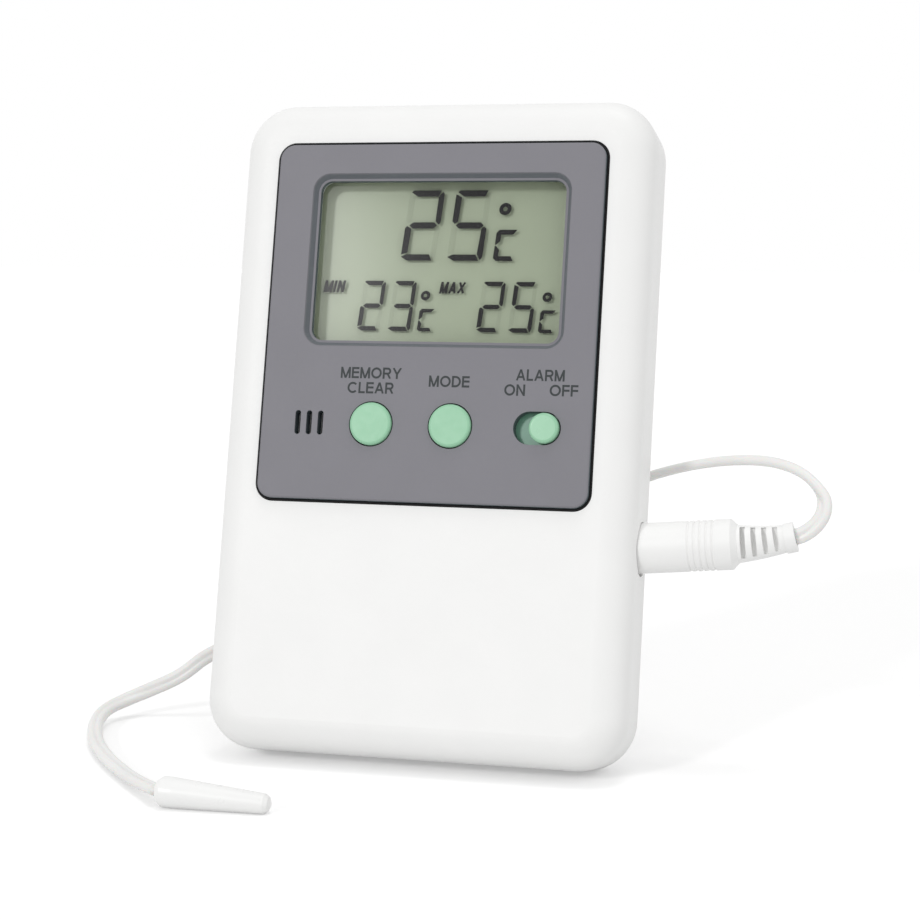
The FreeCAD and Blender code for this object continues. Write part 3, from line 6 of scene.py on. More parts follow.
import bpy
import numpy as np
from bpy.props import FloatProperty, FloatVectorProperty, IntProperty, PointerProperty
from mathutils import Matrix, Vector


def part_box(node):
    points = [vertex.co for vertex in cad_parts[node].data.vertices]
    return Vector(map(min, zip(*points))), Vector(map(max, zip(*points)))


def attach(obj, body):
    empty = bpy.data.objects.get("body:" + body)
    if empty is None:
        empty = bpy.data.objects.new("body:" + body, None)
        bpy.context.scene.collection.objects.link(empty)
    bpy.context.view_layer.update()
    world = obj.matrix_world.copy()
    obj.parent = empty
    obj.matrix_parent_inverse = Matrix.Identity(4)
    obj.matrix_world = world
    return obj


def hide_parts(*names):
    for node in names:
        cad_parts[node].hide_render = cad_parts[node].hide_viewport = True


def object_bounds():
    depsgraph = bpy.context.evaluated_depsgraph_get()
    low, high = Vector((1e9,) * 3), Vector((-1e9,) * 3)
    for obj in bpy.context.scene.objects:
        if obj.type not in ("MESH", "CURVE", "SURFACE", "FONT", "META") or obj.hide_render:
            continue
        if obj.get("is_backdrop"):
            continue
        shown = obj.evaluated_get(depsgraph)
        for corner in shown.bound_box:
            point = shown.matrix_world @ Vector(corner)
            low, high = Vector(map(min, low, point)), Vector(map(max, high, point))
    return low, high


bl_info = {
    "name": "Maximum Minimum Thermometer",
    "version": (1, 0, 0),
    "blender": (4, 5, 0),
    "location": "3D View > Sidebar > Thermometer",
    "description": "Builds a digital maximum minimum thermometer over its packed frame",
    "category": "Object",
}

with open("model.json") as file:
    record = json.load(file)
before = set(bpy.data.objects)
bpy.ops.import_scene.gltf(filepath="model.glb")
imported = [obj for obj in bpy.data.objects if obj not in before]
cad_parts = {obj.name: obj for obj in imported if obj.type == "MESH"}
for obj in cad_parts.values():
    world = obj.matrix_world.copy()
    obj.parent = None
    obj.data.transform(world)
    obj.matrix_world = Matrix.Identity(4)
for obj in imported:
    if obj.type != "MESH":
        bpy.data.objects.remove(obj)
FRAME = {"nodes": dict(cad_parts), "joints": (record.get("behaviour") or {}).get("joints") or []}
CAD_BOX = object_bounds()
MM = 0.001
MICRON = 0.000001


def srgb(code):
    """An sRGB hex colour such as "F0F0F0" as linear red, green, blue."""
    parts = np.array([int(code[i : i + 2], 16) for i in (0, 2, 4)]) / 255
    linear = np.where(parts <= 0.04045, parts / 12.92, ((parts + 0.055) / 1.055) ** 2.4)
    return tuple(float(v) for v in linear)


def colour(name, description, code):
    """A colour property whose default is the hex code."""
    return FloatVectorProperty(
        name=name, description=description, subtype="COLOR", min=0, max=1, default=srgb(code)
    )


def length(name, description, millimetres, **limits):
    """A length property in metres, its default written in millimetres."""
    return FloatProperty(
        name=name,
        description=description,
        subtype="DISTANCE",
        unit="LENGTH",
        precision=5,
        default=millimetres * MM,
        **limits,
    )


class Finishes(bpy.types.PropertyGroup):
    """The colours of the thermometer's materials."""

    case: colour("Case", "Moulded case and foot", "F4F4F3")
    panel: colour("Panel", "Front panel around the display and keys", "818086")
    # painted shade, laid as colour on the walls of the display opening
    reveal: colour("Reveal", "Walls of the display opening", "566064")
    key: colour("Keys", "Keys and the slider's knob", "98CBA9")
    # painted shade: the plate sunk in the slot is given a darker green for the shade it lies in
    slider: colour("Slider plate", "Flat plate under the slider's knob", "72A58E")
    ink: colour("Ink", "Words printed on the panel", "162022")
    ground: colour("Display ground", "Reflector behind the display", "A9B29D")
    mark: colour("Display mark", "A darkened display segment", "0B0B0E")
    lead: colour("Lead", "Soft sheath of the lead", "EEEEEC")
    moulding: colour("Plug and probe", "Grip, strain relief and probe", "F6F6F5")


class LeadSizes(bpy.types.PropertyGroup):
    """The flat twin lead."""

    width: length("Width", "Across both cores", 2.6)
    core: length("Core radius", "Radius of each of the two rounded halves", 0.8)
    around: IntProperty(name="Points around", description="Points on each half", default=14)
    real: length("Length", "From the plug to the probe", 3000)


class DisplaySizes(bpy.types.PropertyGroup):
    """The marks in the display."""

    stroke: length("Main stroke", "Segment width of the two main figures", 1.045)
    small: length("Small stroke", "Segment width of the four small figures", 0.74)
    slant: FloatProperty(name="Slant", description="Lean of the figures", default=0.088)
    film: length("Film", "Thickness of the marks", 0.02)


class CameraPlace(bpy.types.PropertyGroup):
    """Where the camera stands and what it takes in."""

    place: FloatVectorProperty(
        name="Place",
        description="Where the camera stands",
        subtype="XYZ",
        unit="LENGTH",
        default=(0.090852, -0.327053, 0.088371),
    )
    heading: FloatProperty(
        name="Heading",
        description="Turn to the object's left",
        subtype="ANGLE",
        default=math.atan2(0.25554, 0.95973),
    )
    dip: FloatProperty(
        name="Dip", description="Look down", subtype="ANGLE", default=math.asin(0.11667)
    )
    lens: FloatProperty(name="Lens", description="Focal length", unit="CAMERA", default=80.95)


class Thermometer(bpy.types.PropertyGroup):
    """All settings."""

    finishes: PointerProperty(type=Finishes)
    lead: PointerProperty(type=LeadSizes)
    display: PointerProperty(type=DisplaySizes)
    camera: PointerProperty(type=CameraPlace)


def settings():
    """The scene's settings."""
    return bpy.context.scene.thermometer


# ---------------------------------------------------------------- places on the leaning case


def press_way():
    """The direction in which a key is pressed, which is straight into the leaning case."""
    joint = next(j for j in FRAME["joints"] if j["name"] == "mode_press")
    return np.array(joint["axis"], float)


RIGHT = np.array([1.0, 0.0, 0.0])
INWARD = press_way()
UPWARD = np.cross(RIGHT, INWARD)
AXES = np.array([RIGHT, INWARD, UPWARD])
# the display's front glass is a plain slab, so its box has the slab's middle as its own
GLASS_MIDDLE = (0.45, 2.35, 78.75)
GLASS_BOX = [np.array(corner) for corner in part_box("lcd_front_glass")]
CASE_ORIGIN = (GLASS_BOX[0] + GLASS_BOX[1]) / 2 - MM * np.array(GLASS_MIDDLE) @ AXES


def on_case(x, depth, height):
    """Points of the frame from places on the case: right, into it and up it, in millimetres."""
    return CASE_ORIGIN + MM * np.stack(np.broadcast_arrays(x, depth, height), axis=-1) @ AXES


# ---------------------------------------------------------------- meshes


def new_piece(name, points, faces, body, *materials, smooth=True):
    """A mesh piece that rides on a body, with its place in its mesh."""
    mesh = bpy.data.meshes.new(name)
    mesh.from_pydata(points.reshape(-1, 3).tolist(), [], faces)
    mesh.polygons.foreach_set("use_smooth", np.full(len(mesh.polygons), smooth))
    mesh.update()
    for material in materials:
        mesh.materials.append(material)
    piece = bpy.data.objects.new(name, mesh)
    bpy.context.scene.collection.objects.link(piece)
    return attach(piece, body)


def grid_faces(rows, columns, close_rows=False):
    """Quads of a grid of rows x columns points whose columns run round; rows may close too."""
    row = np.arange(rows if close_rows else rows - 1)[:, None]
    column = np.arange(columns)[None, :]
    after, beside = (row + 1) % rows, (column + 1) % columns
    quads = np.stack(
        [
            row * columns + column,
            row * columns + beside,
            after * columns + beside,
            after * columns + column,
        ],
        axis=-1,
    )
    return quads.reshape(-1, 4).tolist()


def film(outlines, depth, thickness):
    """Flat marks on the case: each outline, counter-clockwise from the front, as a thin prism.

    A prism is its outline at two depths, the back one thickness behind the front one.
    """
    points, faces = [], []
    for outline in outlines:
        first, count = sum(len(p) for p in points), len(outline)
        outline = np.asarray(outline, float)
        for level in (depth, depth + thickness):
            points.append(on_case(outline[:, 0], level, outline[:, 1]))
        near = [first + i for i in range(count)]
        far = [first + count + i for i in range(count)]
        faces.append(near)
        faces.append(far[::-1])
        faces += [
            (near[i], far[i], far[(i + 1) % count], near[(i + 1) % count]) for i in range(count)
        ]
    return np.concatenate(points), faces


# ---------------------------------------------------------------- materials


def add_node(tree, kind, sockets=None, **options):
    """A node with its options set, and each socket given a value or linked to another's."""
    node = tree.nodes.new(kind)
    for name, value in options.items():
        setattr(node, name, value)
    for key, value in (sockets or {}).items():
        if isinstance(value, bpy.types.NodeSocket):
            tree.links.new(value, node.inputs[key])
        else:
            node.inputs[key].default_value = value
    return node


def new_material(name):
    """An empty node material and its tree."""
    material = bpy.data.materials.get(name) or bpy.data.materials.new(name)
    material.use_nodes = True
    material.node_tree.nodes.clear()
    return material, material.node_tree


def finish_material(tree, shader):
    """Connects the shader to the material's output."""
    add_node(tree, "ShaderNodeOutputMaterial", {"Surface": shader})


def noise(tree, size, detail=2.0, stretch=(1, 1, 1)):
    """Noise on object coordinates whose features are about `size` millimetres across."""
    place = add_node(tree, "ShaderNodeTexCoord")
    mapped = add_node(
        tree, "ShaderNodeMapping", {"Vector": place.outputs["Object"], "Scale": stretch}
    )
    texture = add_node(
        tree,
        "ShaderNodeTexNoise",
        {"Vector": mapped.outputs["Vector"], "Scale": 1 / (size * MM), "Detail": detail},
    )
    return texture.outputs["Fac"]


def spread(tree, value, low, high):
    """The value's middle range, spread from low to high."""
    node = add_node(
        tree,
        "ShaderNodeMapRange",
        {"Value": value, "From Min": 0.3, "From Max": 0.7, "To Min": low, "To Max": high},
    )
    return node.outputs["Result"]


def tinted(tree, tint, change, value):
    """The colour, darkened by up to `change` where the value is low."""
    dark = [c * (1 - change) for c in tint]
    node = add_node(
        tree,
        "ShaderNodeMix",
        {0: value, 6: (*dark, 1), 7: (*tint, 1)},
        data_type="RGBA",
    )
    return node.outputs[2]


# millimetres across a patch of even tone, as the melt's flow leaves it in a moulding
FLOW_SIZE = 9.0


def moulded(name, tint, roughness, grain, depth, mottle=0.03, **sockets):
    """An injection-moulded plastic: the mould's fine grain as bump, and a faint uneven tone.

    `grain` is the size of the grain in millimetres and `depth` its height in micrometres. The
    real grain of most of these surfaces is under 0.1 mm, too fine to show, and drawn coarser.
    """
    material, tree = new_material(name)
    fine = noise(tree, grain, detail=3)
    broad = noise(tree, FLOW_SIZE, detail=1)
    bump = add_node(
        tree, "ShaderNodeBump", {"Height": fine, "Distance": depth * MICRON, "Strength": 1.0}
    )
    shader = add_node(
        tree,
        "ShaderNodeBsdfPrincipled",
        {
            "Base Color": tinted(tree, tint, mottle, spread(tree, broad, 0, 1)),
            "Roughness": spread(tree, fine, roughness - 0.04, roughness + 0.04),
            "Normal": bump.outputs["Normal"],
            **sockets,
        },
    )
    finish_material(tree, shader.outputs["BSDF"])
    return material


def metal(name, tint, roughness, stretch):
    """A plated or drawn metal: fine lines along one way, which spread its highlights."""
    material, tree = new_material(name)
    lines = noise(tree, 0.25, detail=4, stretch=stretch)
    bump = add_node(
        tree, "ShaderNodeBump", {"Height": lines, "Distance": 4 * MICRON, "Strength": 0.6}
    )
    shader = add_node(
        tree,
        "ShaderNodeBsdfPrincipled",
        {
            "Base Color": tinted(tree, tint, 0.08, spread(tree, lines, 0, 1)),
            "Metallic": 1.0,
            "Roughness": spread(tree, lines, roughness - 0.06, roughness + 0.06),
            "Normal": bump.outputs["Normal"],
        },
    )
    finish_material(tree, shader.outputs["BSDF"])
    return material


def inward_part(tree, vector):
    """How far the vector reaches into the case."""
    part = add_node(
        tree, "ShaderNodeVectorMath", {0: vector, 1: tuple(INWARD)}, operation="DOT_PRODUCT"
    )
    return part.outputs["Value"]


def depth_share(tree, start, end):
    """0 at the depth `start` into the case, in millimetres, to 1 at `end`."""
    place = add_node(tree, "ShaderNodeTexCoord")
    depth = inward_part(tree, place.outputs["Object"])
    zero = float(CASE_ORIGIN @ INWARD)
    node = add_node(
        tree,
        "ShaderNodeMapRange",
        {"Value": depth, "From Min": zero + start * MM, "From Max": zero + end * MM},
    )
    return node.outputs["Result"]


# the walls found here carry the panel's painted shade
def wall_share(tree):
    """0 on faces square to the depth, to 1 on walls along it."""
    face = add_node(tree, "ShaderNodeNewGeometry")
    facing = inward_part(tree, face.outputs["Normal"])
    size = add_node(tree, "ShaderNodeMath", {0: facing}, operation="ABSOLUTE")
    node = add_node(
        tree,
        "ShaderNodeMapRange",
        {"Value": size.outputs["Value"], "From Min": 0.85, "From Max": 0.4},
    )
    return node.outputs["Result"]


def second_tone(material, tint, *shares):
    """Turns the material's base colour to another where every share is 1."""
    tree = material.node_tree
    shader = next(n for n in tree.nodes if n.type == "BSDF_PRINCIPLED")
    whole = shares[0]
    for share in shares[1:]:
        whole = add_node(
            tree, "ShaderNodeMath", {0: whole, 1: share}, operation="MULTIPLY"
        ).outputs["Value"]
    first = shader.inputs["Base Color"].links[0].from_socket
    mixed = add_node(
        tree, "ShaderNodeMix", {0: whole, 6: first, 7: (*tint, 1)}, data_type="RGBA"
    )
    tree.links.new(mixed.outputs[2], shader.inputs["Base Color"])
    return material


def dress(material, *nodes):
    """Gives the CAD nodes a material in place of their plain one."""
    for name in nodes:
        slots = FRAME["nodes"][name].data.materials
        slots.clear()
        slots.append(material)


# ---------------------------------------------------------------- the lead

PLUG_SIDE = [
    (59.17, -3.57, 38.57),
    (60.43, -3.49, 38.87),
    (62.7, -3.2, 40.8),
    (63.6, -1.9, 43.0),
    (62.9, 0.0, 45.3),
    (59.6, 2.2, 48.2),
    (54.3, 4.8, 49.5),
    (47.0, 7.6, 49.1),
    (38.7, 10.6, 47.3),
    (30.1, 13.8, 44.2),
    (21.9, 18.7, 38.9),
    (12.9, 26.2, 30.0),
    (7.4, 37.4, 19.4),
    (5.6, 50.4, 10.4),
    (4.7, 66.0, 1.9),
]
PROBE_SIDE = [
    (-36.7, 66.0, 12.1),
    (-35.2, 54.0, 12.2),
    (-34.2, 40.8, 12.8),
    (-34.8, 28.2, 13.4),
    (-38.4, 17.2, 13.6),
    (-45.4, 11.0, 11.3),
    (-50.0, 9.6, 7.2),
    (-55.3, 8.0, 4.8),
    (-58.7, 5.8, 3.4),
    (-61.1, 1.3, 2.4),
    (-60.4, -4.2, 1.5),
    (-57.9, -10.2, 1.3),
    (-54.6, -16.7, 1.3),
    (-50.3, -23.2, 1.3),
    (-45.3, -29.6, 1.3),
    (-39.8, -35.9, 1.4),
    (-34.9, -41.2, 1.9),
    (-31.3, -45.1, 2.5),
]
COIL_MIDDLE = (-16.0, 72.0, 6.9)
COIL_RADIUS = 15.5
# a full layer's turns, outward across the bundle, and the layers from the bottom up
OUTWARD = (-5.2, -2.6, 0.0, 2.6, 5.2)
COIL_LAYERS = [(1.3, -1.3), *[OUTWARD, OUTWARD[::-1]] * 2, OUTWARD, (-1.3, 1.3)]
LAYER_PITCH = 1.73
TURN_POINTS = 16
# a turn keeps its place for this share of it, and passes to the next one's in the rest
TURN_HOLDS = 0.66
# the angles at which the lead comes into the coil and leaves it, both at its outside
COIL_ENDS = (-14.0, 194.0)
# which way the lead's wide face turns at places along it; None is level, as it lies elsewhere
PLUG_SIDE_WAYS = [
    ((59.17, -3.57, 38.57), (-0.23, 0.0, 0.97)),
    ((62.3, -2.8, 41.0), (-0.60, 0.35, 0.65)),
    ((63.3, -1.5, 43.2), (-0.70, 0.70, 0.20)),
    ((60.0, 2.0, 47.6), (-0.10, 1.00, -0.10)),
    ((47.0, 7.6, 49.0), None),
]
PROBE_SIDE_WAYS = [
    ((-34.4, 36.0, 13.0), None),
    ((-38.4, 18.0, 13.4), (-0.10, 0.08, 0.99)),
    ((-45.4, 11.5, 11.2), (-0.42, 0.00, 0.85)),
    ((-52.0, 9.0, 6.4), (-0.50, 0.00, 0.80)),
    ((-58.0, 6.2, 3.7), (-0.80, 0.10, 0.50)),
    ((-60.4, -4.2, 1.5), None),
]


def coil_turns():
    """Points of the wound turns: round the middle, each turn in its own place in the bundle.

    The angle grows evenly. A turn's column and layer hold for its first part, and pass to the
    next turn's over its last third in a smooth step, 3t^2 - 2t^3.
    """
    slots = [
        (column, (layer - (len(COIL_LAYERS) - 1) / 2) * LAYER_PITCH)
        for layer, columns in enumerate(COIL_LAYERS)
        for column in columns
    ]
    slots = np.array([(OUTWARD[-1], slots[0][1]), *slots, (OUTWARD[-1], slots[-1][1])])
    first, last = np.radians(COIL_ENDS)
    whole = math.tau * (len(slots) - 3) + (last - first) % math.tau
    angles = np.arange(0, whole, math.tau / TURN_POINTS)
    turn = angles / math.tau + 0.5
    index = np.minimum(turn.astype(int), len(slots) - 2)
    share = np.clip((turn - index - TURN_HOLDS) / (1 - TURN_HOLDS), 0, 1)
    share = (share * share * (3 - 2 * share))[:, None]
    place = slots[index] * (1 - share) + slots[index + 1] * share
    # a quadratic spline cuts inside its points, so they stand out by as much
    out = (COIL_RADIUS + place[:, 0]) / math.cos(math.pi / TURN_POINTS)
    angles = angles + first
    x, y, z = COIL_MIDDLE
    return np.stack([x + out * np.cos(angles), y + out * np.sin(angles), z + place[:, 1]], -1)


def route_line(points):
    """The smooth line of a quadratic NURBS spline through the route, as points in order."""
    curve = bpy.data.curves.new("lead_route", "CURVE")
    curve.dimensions = "3D"
    spline = curve.splines.new("NURBS")
    spline.points.add(len(points) - 1)
    spline.points.foreach_set("co", np.column_stack([points, np.ones(len(points))]).ravel())
    spline.order_u = 3
    spline.use_endpoint_u = True
    spline.resolution_u = 6
    holder = bpy.data.objects.new("lead_route", curve)
    mesh = bpy.data.meshes.new_from_object(holder)
    line = np.empty(len(mesh.vertices) * 3)
    mesh.vertices.foreach_get("co", line)
    bpy.data.objects.remove(holder)
    bpy.data.meshes.remove(mesh)
    bpy.data.curves.remove(curve)
    line = line.reshape(-1, 3)
    steps = np.linalg.norm(np.diff(line, axis=0), axis=1)
    return line[np.concatenate([[True], steps > 1e-6])]


def unit(vectors):
    """The vectors at length one."""
    return vectors / np.linalg.norm(vectors, axis=-1, keepdims=True)


def wide_directions(line, along):
    """Across the lead's wide face at each point: level, and turned from station to station."""
    wide = unit(np.cross(along, (0, 0, 1)))
    half = len(line) // 2
    for stations, start, stop in ((PLUG_SIDE_WAYS, 0, half), (PROBE_SIDE_WAYS, half, len(line))):
        near = line[start:stop]
        marks = [
            start + int(np.argmin(np.linalg.norm(near - np.array(spot) * MM, axis=1)))
            for spot, _ in stations
        ]
        ways = np.array(
            [wide[mark] if way is None else way for mark, (_, way) in zip(marks, stations)]
        )
        steps = np.arange(marks[0], marks[-1] + 1)
        turned = np.column_stack([np.interp(steps, marks, ways[:, i]) for i in range(3)])
        turned -= (turned * along[steps]).sum(1, keepdims=True) * along[steps]
        wide[steps] = unit(turned)
    return wide


class MakeLead(bpy.types.Operator):
    """Lay the flat twin lead from the strain relief to the probe, its spare length coiled"""

    bl_idname = "thermometer.lead"
    bl_label = "Lead"

    def execute(self, context):
        """Two rounded halves side by side, carried along the smooth line.

        A half is an arc of radius r about a middle set out by width / 2 - r, cut off where
        the halves meet: across = offset + r cos a, through = r sin a.
        """
        sizes = settings().lead
        route = np.concatenate([np.array(PLUG_SIDE), coil_turns(), np.array(PROBE_SIDE)]) * MM
        line = route_line(route)
        along = unit(np.gradient(line, axis=0))
        wide = wide_directions(line, along)
        thin = np.cross(along, wide)
        offset = sizes.width / 2 - sizes.core
        meet = math.acos(-offset / sizes.core)
        angles = np.linspace(-meet, meet, sizes.around)
        across = offset + sizes.core * np.cos(angles)
        across = np.concatenate([across, -across[1:-1]])
        through = sizes.core * np.sin(angles)
        through = np.concatenate([through, -through[1:-1]])
        points = (
            line[:, None, :]
            + across[None, :, None] * wide[:, None, :]
            + through[None, :, None] * thin[:, None, :]
        )
        columns = len(across)
        faces = grid_faces(len(line), columns)
        last = (len(line) - 1) * columns
        faces.append(list(range(columns))[::-1])
        faces.append([last + i for i in range(columns)])
        piece = new_piece("lead", points, faces, "probe_lead", lead_sheath())
        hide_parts("cord_plug_side", "cord_coil", "cord_probe_side")
        # nylon, moulded: a thin strap, a little glossier than the sheath that it holds
        tie = moulded("nylon tie, moulded", srgb("E9E9E6"), roughness=0.4, grain=0.8, depth=8)
        dress(tie, "coil_tie")
        return {"FINISHED"}


def lead_sheath():
    """Soft PVC, extruded: a faint gloss, a little light carried under the surface, and dust."""
    return moulded(
        "soft PVC sheath, extruded",
        tuple(settings().finishes.lead),
        roughness=0.38,
        grain=1.6,
        depth=14,
        mottle=0.05,
        **{"Subsurface Weight": 0.12, "Subsurface Scale": 1.2 * MM},
    )


# ---------------------------------------------------------------- case, panel, keys, plug

# the panel's left, right, foot and head, its corner radius and the joint round it
PANEL_OUTLINE = (-27.55, 27.55, 40.9, 99.9, 2.5, 0.5)
# corners of the gasket's section: its share of the way across the joint, and its depth
GASKET_SECTION = [(0.02, 1.19), (0.98, 1.19), (0.98, 0.3), (0.8, 0.18), (0.2, 0.18), (0.02, 0.3)]


class DressCase(bpy.types.Operator):
    """Give the two shells, foot, battery door and screws their finishes"""

    bl_idname = "thermometer.case"
    bl_label = "Case"

    def execute(self, context):
        tint = tuple(settings().finishes.case)
        # ABS from a spark-eroded mould: an even, very fine matt that spreads each highlight
        shell = moulded(
            "ABS, spark-textured moulding", tint, roughness=0.48, grain=0.55, depth=9, mottle=0.015
        )
        dress(shell, "front_case", "rear_case", "fold_out_foot", "battery_door")
        # zinc on turned steel: a pale grey, cloudy shine
        steel = metal(
            "zinc-plated steel, turned", srgb("B9BABD"), roughness=0.34, stretch=(1, 1, 1)
        )
        dress(steel, "case_screws")
        return {"FINISHED"}


class DressPanel(bpy.types.Operator):
    """Give the front panel and its keys and slider their finishes"""

    bl_idname = "thermometer.panel"
    bl_label = "Panel and keys"

    def execute(self, context):
        finishes = settings().finishes
        # ABS under satin paint: a low sheen with the faint unevenness of the spray
        panel = moulded(
            "ABS, satin-painted panel",
            tuple(finishes.panel),
            roughness=0.52,
            grain=0.35,
            depth=6,
            **{"Specular IOR Level": 0.3},
        )
        # painted shade: the walls of the display opening take a darker colour, standing for the
        # shade that falls in the recess
        tree = panel.node_tree
        second_tone(panel, tuple(finishes.reveal), depth_share(tree, -0.75, -0.5), wall_share(tree))
        dress(panel, "bezel_panel")
        # ABS from a polished mould: smooth, with soft highlights along the rounded edges
        key = moulded(
            "ABS key, polished moulding", tuple(finishes.key), roughness=0.42, grain=1.2, depth=3
        )
        dress(key, "memory_clear_button", "mode_button")
        slider = moulded(
            "ABS slider, polished moulding", tuple(finishes.key), roughness=0.3, grain=1.2, depth=3
        )
        # the deeper plate under the knob is painted darker: painted shade in the slot
        second_tone(slider, tuple(finishes.slider), depth_share(slider.node_tree, -0.6, -0.3))
        dress(slider, "alarm_slider")
        self.add_gasket()
        self.add_slot_shade_felt()
        # acetal, unpainted: an even, slightly waxy white
        inner = moulded(
            "acetal, plain moulding", srgb("D8D8D4"), roughness=0.45, grain=1.0, depth=5
        )
        dress(inner, "memory_clear_plunger", "mode_plunger", "alarm_switch_lever")
        return {"FINISHED"}

    def add_gasket(self):
        """A black foam gasket that fills the joint round the panel, just below the case's face.

        Its section, a rectangle with cut corners, is carried round the panel's rounded
        outline: corner middle plus the section's reach times (cos a, sin a).
        """
        left, right, low, high, corner, gap = PANEL_OUTLINE
        steps = 10
        turn = np.linspace(0, math.pi / 2, steps)
        angles = np.concatenate([turn + quarter * math.pi / 2 for quarter in range(4)])[None, :]
        sides = [right - corner, left + corner, left + corner, right - corner]
        heights = [high - corner, high - corner, low + corner, low + corner]
        across, depth = np.array(GASKET_SECTION).T[:, :, None]
        reach = corner + gap * across
        points = on_case(
            np.repeat(sides, steps) + reach * np.cos(angles),
            depth,
            np.repeat(heights, steps) + reach * np.sin(angles),
        )
        # closed-cell foam, cut: a dull black line that no light gets past
        foam = moulded(
            "closed-cell foam, die-cut", srgb("0E0E10"), roughness=0.85, grain=0.2, depth=12
        )
        faces = grid_faces(len(GASKET_SECTION), angles.size, close_rows=True)
        new_piece("panel_gasket", points, faces, "case", foam)

    def add_slot_shade_felt(self):
        """A black felt disc just in front of the sounder, behind the sound slots: painted shade, a
        dark sheet standing for the shade inside the slots.
        """
        low, high = (np.array(corner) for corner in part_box("sounder_disc"))
        smaller, in_front, thickness = 1.0, 0.35, 0.2
        side, depth, height = AXES @ ((low + high) / 2 - CASE_ORIGIN) / MM
        turn = np.linspace(0, 2 * math.pi, 48, endpoint=False)
        radius = (high[0] - low[0]) / MM / 2 - smaller
        outline = np.column_stack([side + radius * np.cos(turn), height + radius * np.sin(turn)])
        # wool felt, pressed and quite matt: its black paints the shade that the slots would hold
        felt = moulded("wool felt, pressed", srgb("0B0B0C"), roughness=0.95, grain=0.25, depth=30)
        disc = film([outline], depth - in_front, thickness)
        new_piece("sounder_slot_shade_felt", *disc, "case", felt, smooth=False)


class DressPlug(bpy.types.Operator):
    """Give the plug, strain relief, socket and probe their finishes"""

    bl_idname = "thermometer.plug"
    bl_label = "Plug and probe"

    def execute(self, context):
        tint = tuple(settings().finishes.moulding)
        # PVC moulded over the contacts: soft, finely matt and without hard highlights
        body = moulded(
            "PVC overmould, fine matt", tint, roughness=0.46, grain=0.5, depth=8, mottle=0.02
        )
        dress(body, "plug_grip", "strain_relief")
        # ABS from a polished mould: a clear highlight along the taper
        probe = moulded(
            "ABS probe, polished moulding", tint, roughness=0.3, grain=2.0, depth=4, mottle=0.02
        )
        dress(probe, "temperature_probe")
        # nickel on turned brass: bright and warm, with fine lines round the axis
        plated = metal(
            "nickel-plated brass, turned", srgb("CFCDC6"), roughness=0.22, stretch=(14, 1, 1)
        )
        dress(plated, "plug_sleeve", "plug_tip")
        # black moulded plastics, which only part the bright contacts
        insulator = moulded(
            "insulating ring, black", srgb("1C1C1D"), roughness=0.4, grain=1.0, depth=4
        )
        dress(insulator, "plug_insulator")
        socket = moulded(
            "socket moulding, black", srgb("232325"), roughness=0.5, grain=0.6, depth=8
        )
        dress(socket, "jack_socket")
        return {"FINISHED"}


# ---------------------------------------------------------------- the display

SEGMENTS = {
    "a": lambda w, h: [(0.25, h - 0.3), (0.6, h), (w - 0.55, h), (w - 0.93, h - 1), (1.3, h - 1)],
    "b": lambda w, h: [
        (w - 0.28, h - 0.2), (w, h - 0.6), (w, h / 2 + 0.5),
        (w - 0.25, h / 2 + 0.1), (w - 0.85, h / 2 + 0.65), (w - 0.9, h - 1.16),
    ],
    "c": lambda w, h: [
        (w - 0.42, h / 2 - 0.15), (w, h / 2 - 0.5), (w, 0.65),
        (w - 0.35, 0.1), (w - 0.95, 1.05), (w - 0.8, h / 2 - 0.55),
    ],
    "d": lambda w, h: [(0, 0.6), (0.85, 1), (w - 1.1, 1), (w - 0.58, 0), (1.08, 0)],
    "e": lambda w, h: [
        (0, h / 2 - 0.45), (0.31, h / 2 - 0.1), (1.04, h / 2 - 0.5), (1, 1.3), (0, 0.95),
    ],
    "f": lambda w, h: [
        (0, h - 0.64), (1, h - 1.1), (0.93, h / 2 + 0.6), (0.43, h / 2 + 0.25), (0, h / 2 + 0.65),
    ],
    "g": lambda w, h: [
        (0.64, h / 2), (1.27, h / 2 + 0.5), (w - 1, h / 2 + 0.5),
        (w - 0.52, h / 2), (w - 1.06, h / 2 - 0.5), (1.2, h / 2 - 0.5),
    ],
    "C": lambda w, h: [
        (0.02, h / 2 + 0.13), (0, h - 0.65), (0.6, h), (w, h), (w - 0.8, h - 1),
        (1.05, h - 1), (1.05, h / 2 + 0.9), (0.3, h / 2 + 0.13),
    ],
    "c2": lambda w, h: [
        (0.02, h / 2 - 0.1), (0.3, h / 2 - 0.1), (1.0, h / 2 - 0.9), (1.0, 1.0),
        (w - 0.65, 1), (w - 0.1, 0), (0.65, 0), (0, 0.6),
    ],
}
LIT = {"2": "abged", "3": "abgcd", "5": "afgcd"}
# each figure: left edge and foot in millimetres on the case, and which size it is
FIGURES = [
    ("2", -6.79, 81.23, "stroke"),
    ("5", 1.13, 81.23, "stroke"),
    ("2", -13.49, 69.43, "small"),
    ("3", -8.24, 69.43, "small"),
    ("2", 6.80, 69.43, "small"),
    ("5", 12.12, 69.43, "small"),
]
# a figure's width and height, and the letter's, in strokes
FIGURE_SHAPE = {"stroke": (5.68, 11.3), "small": (5.2, 11.3)}
LETTER_SHAPE = (4.3, 6.5)
# the letter C after each reading: left edge, foot, stroke
LETTERS = [(8.88, 81.23, 0.80), (-3.2, 69.43, 0.575), (17.1, 69.43, 0.575)]
# the small ring before it: middle, outer and inner radius
RINGS = [(10.54, 89.89, 1.02, 0.37), (-2.05, 75.38, 0.8, 0.3), (18.39, 75.33, 0.8, 0.3)]
# words in the display: left, right, foot, head
DISPLAY_WORDS = [("MIN", -19.76, -15.85, 75.8, 77.8), ("MAX", 0.19, 4.76, 75.75, 77.7)]
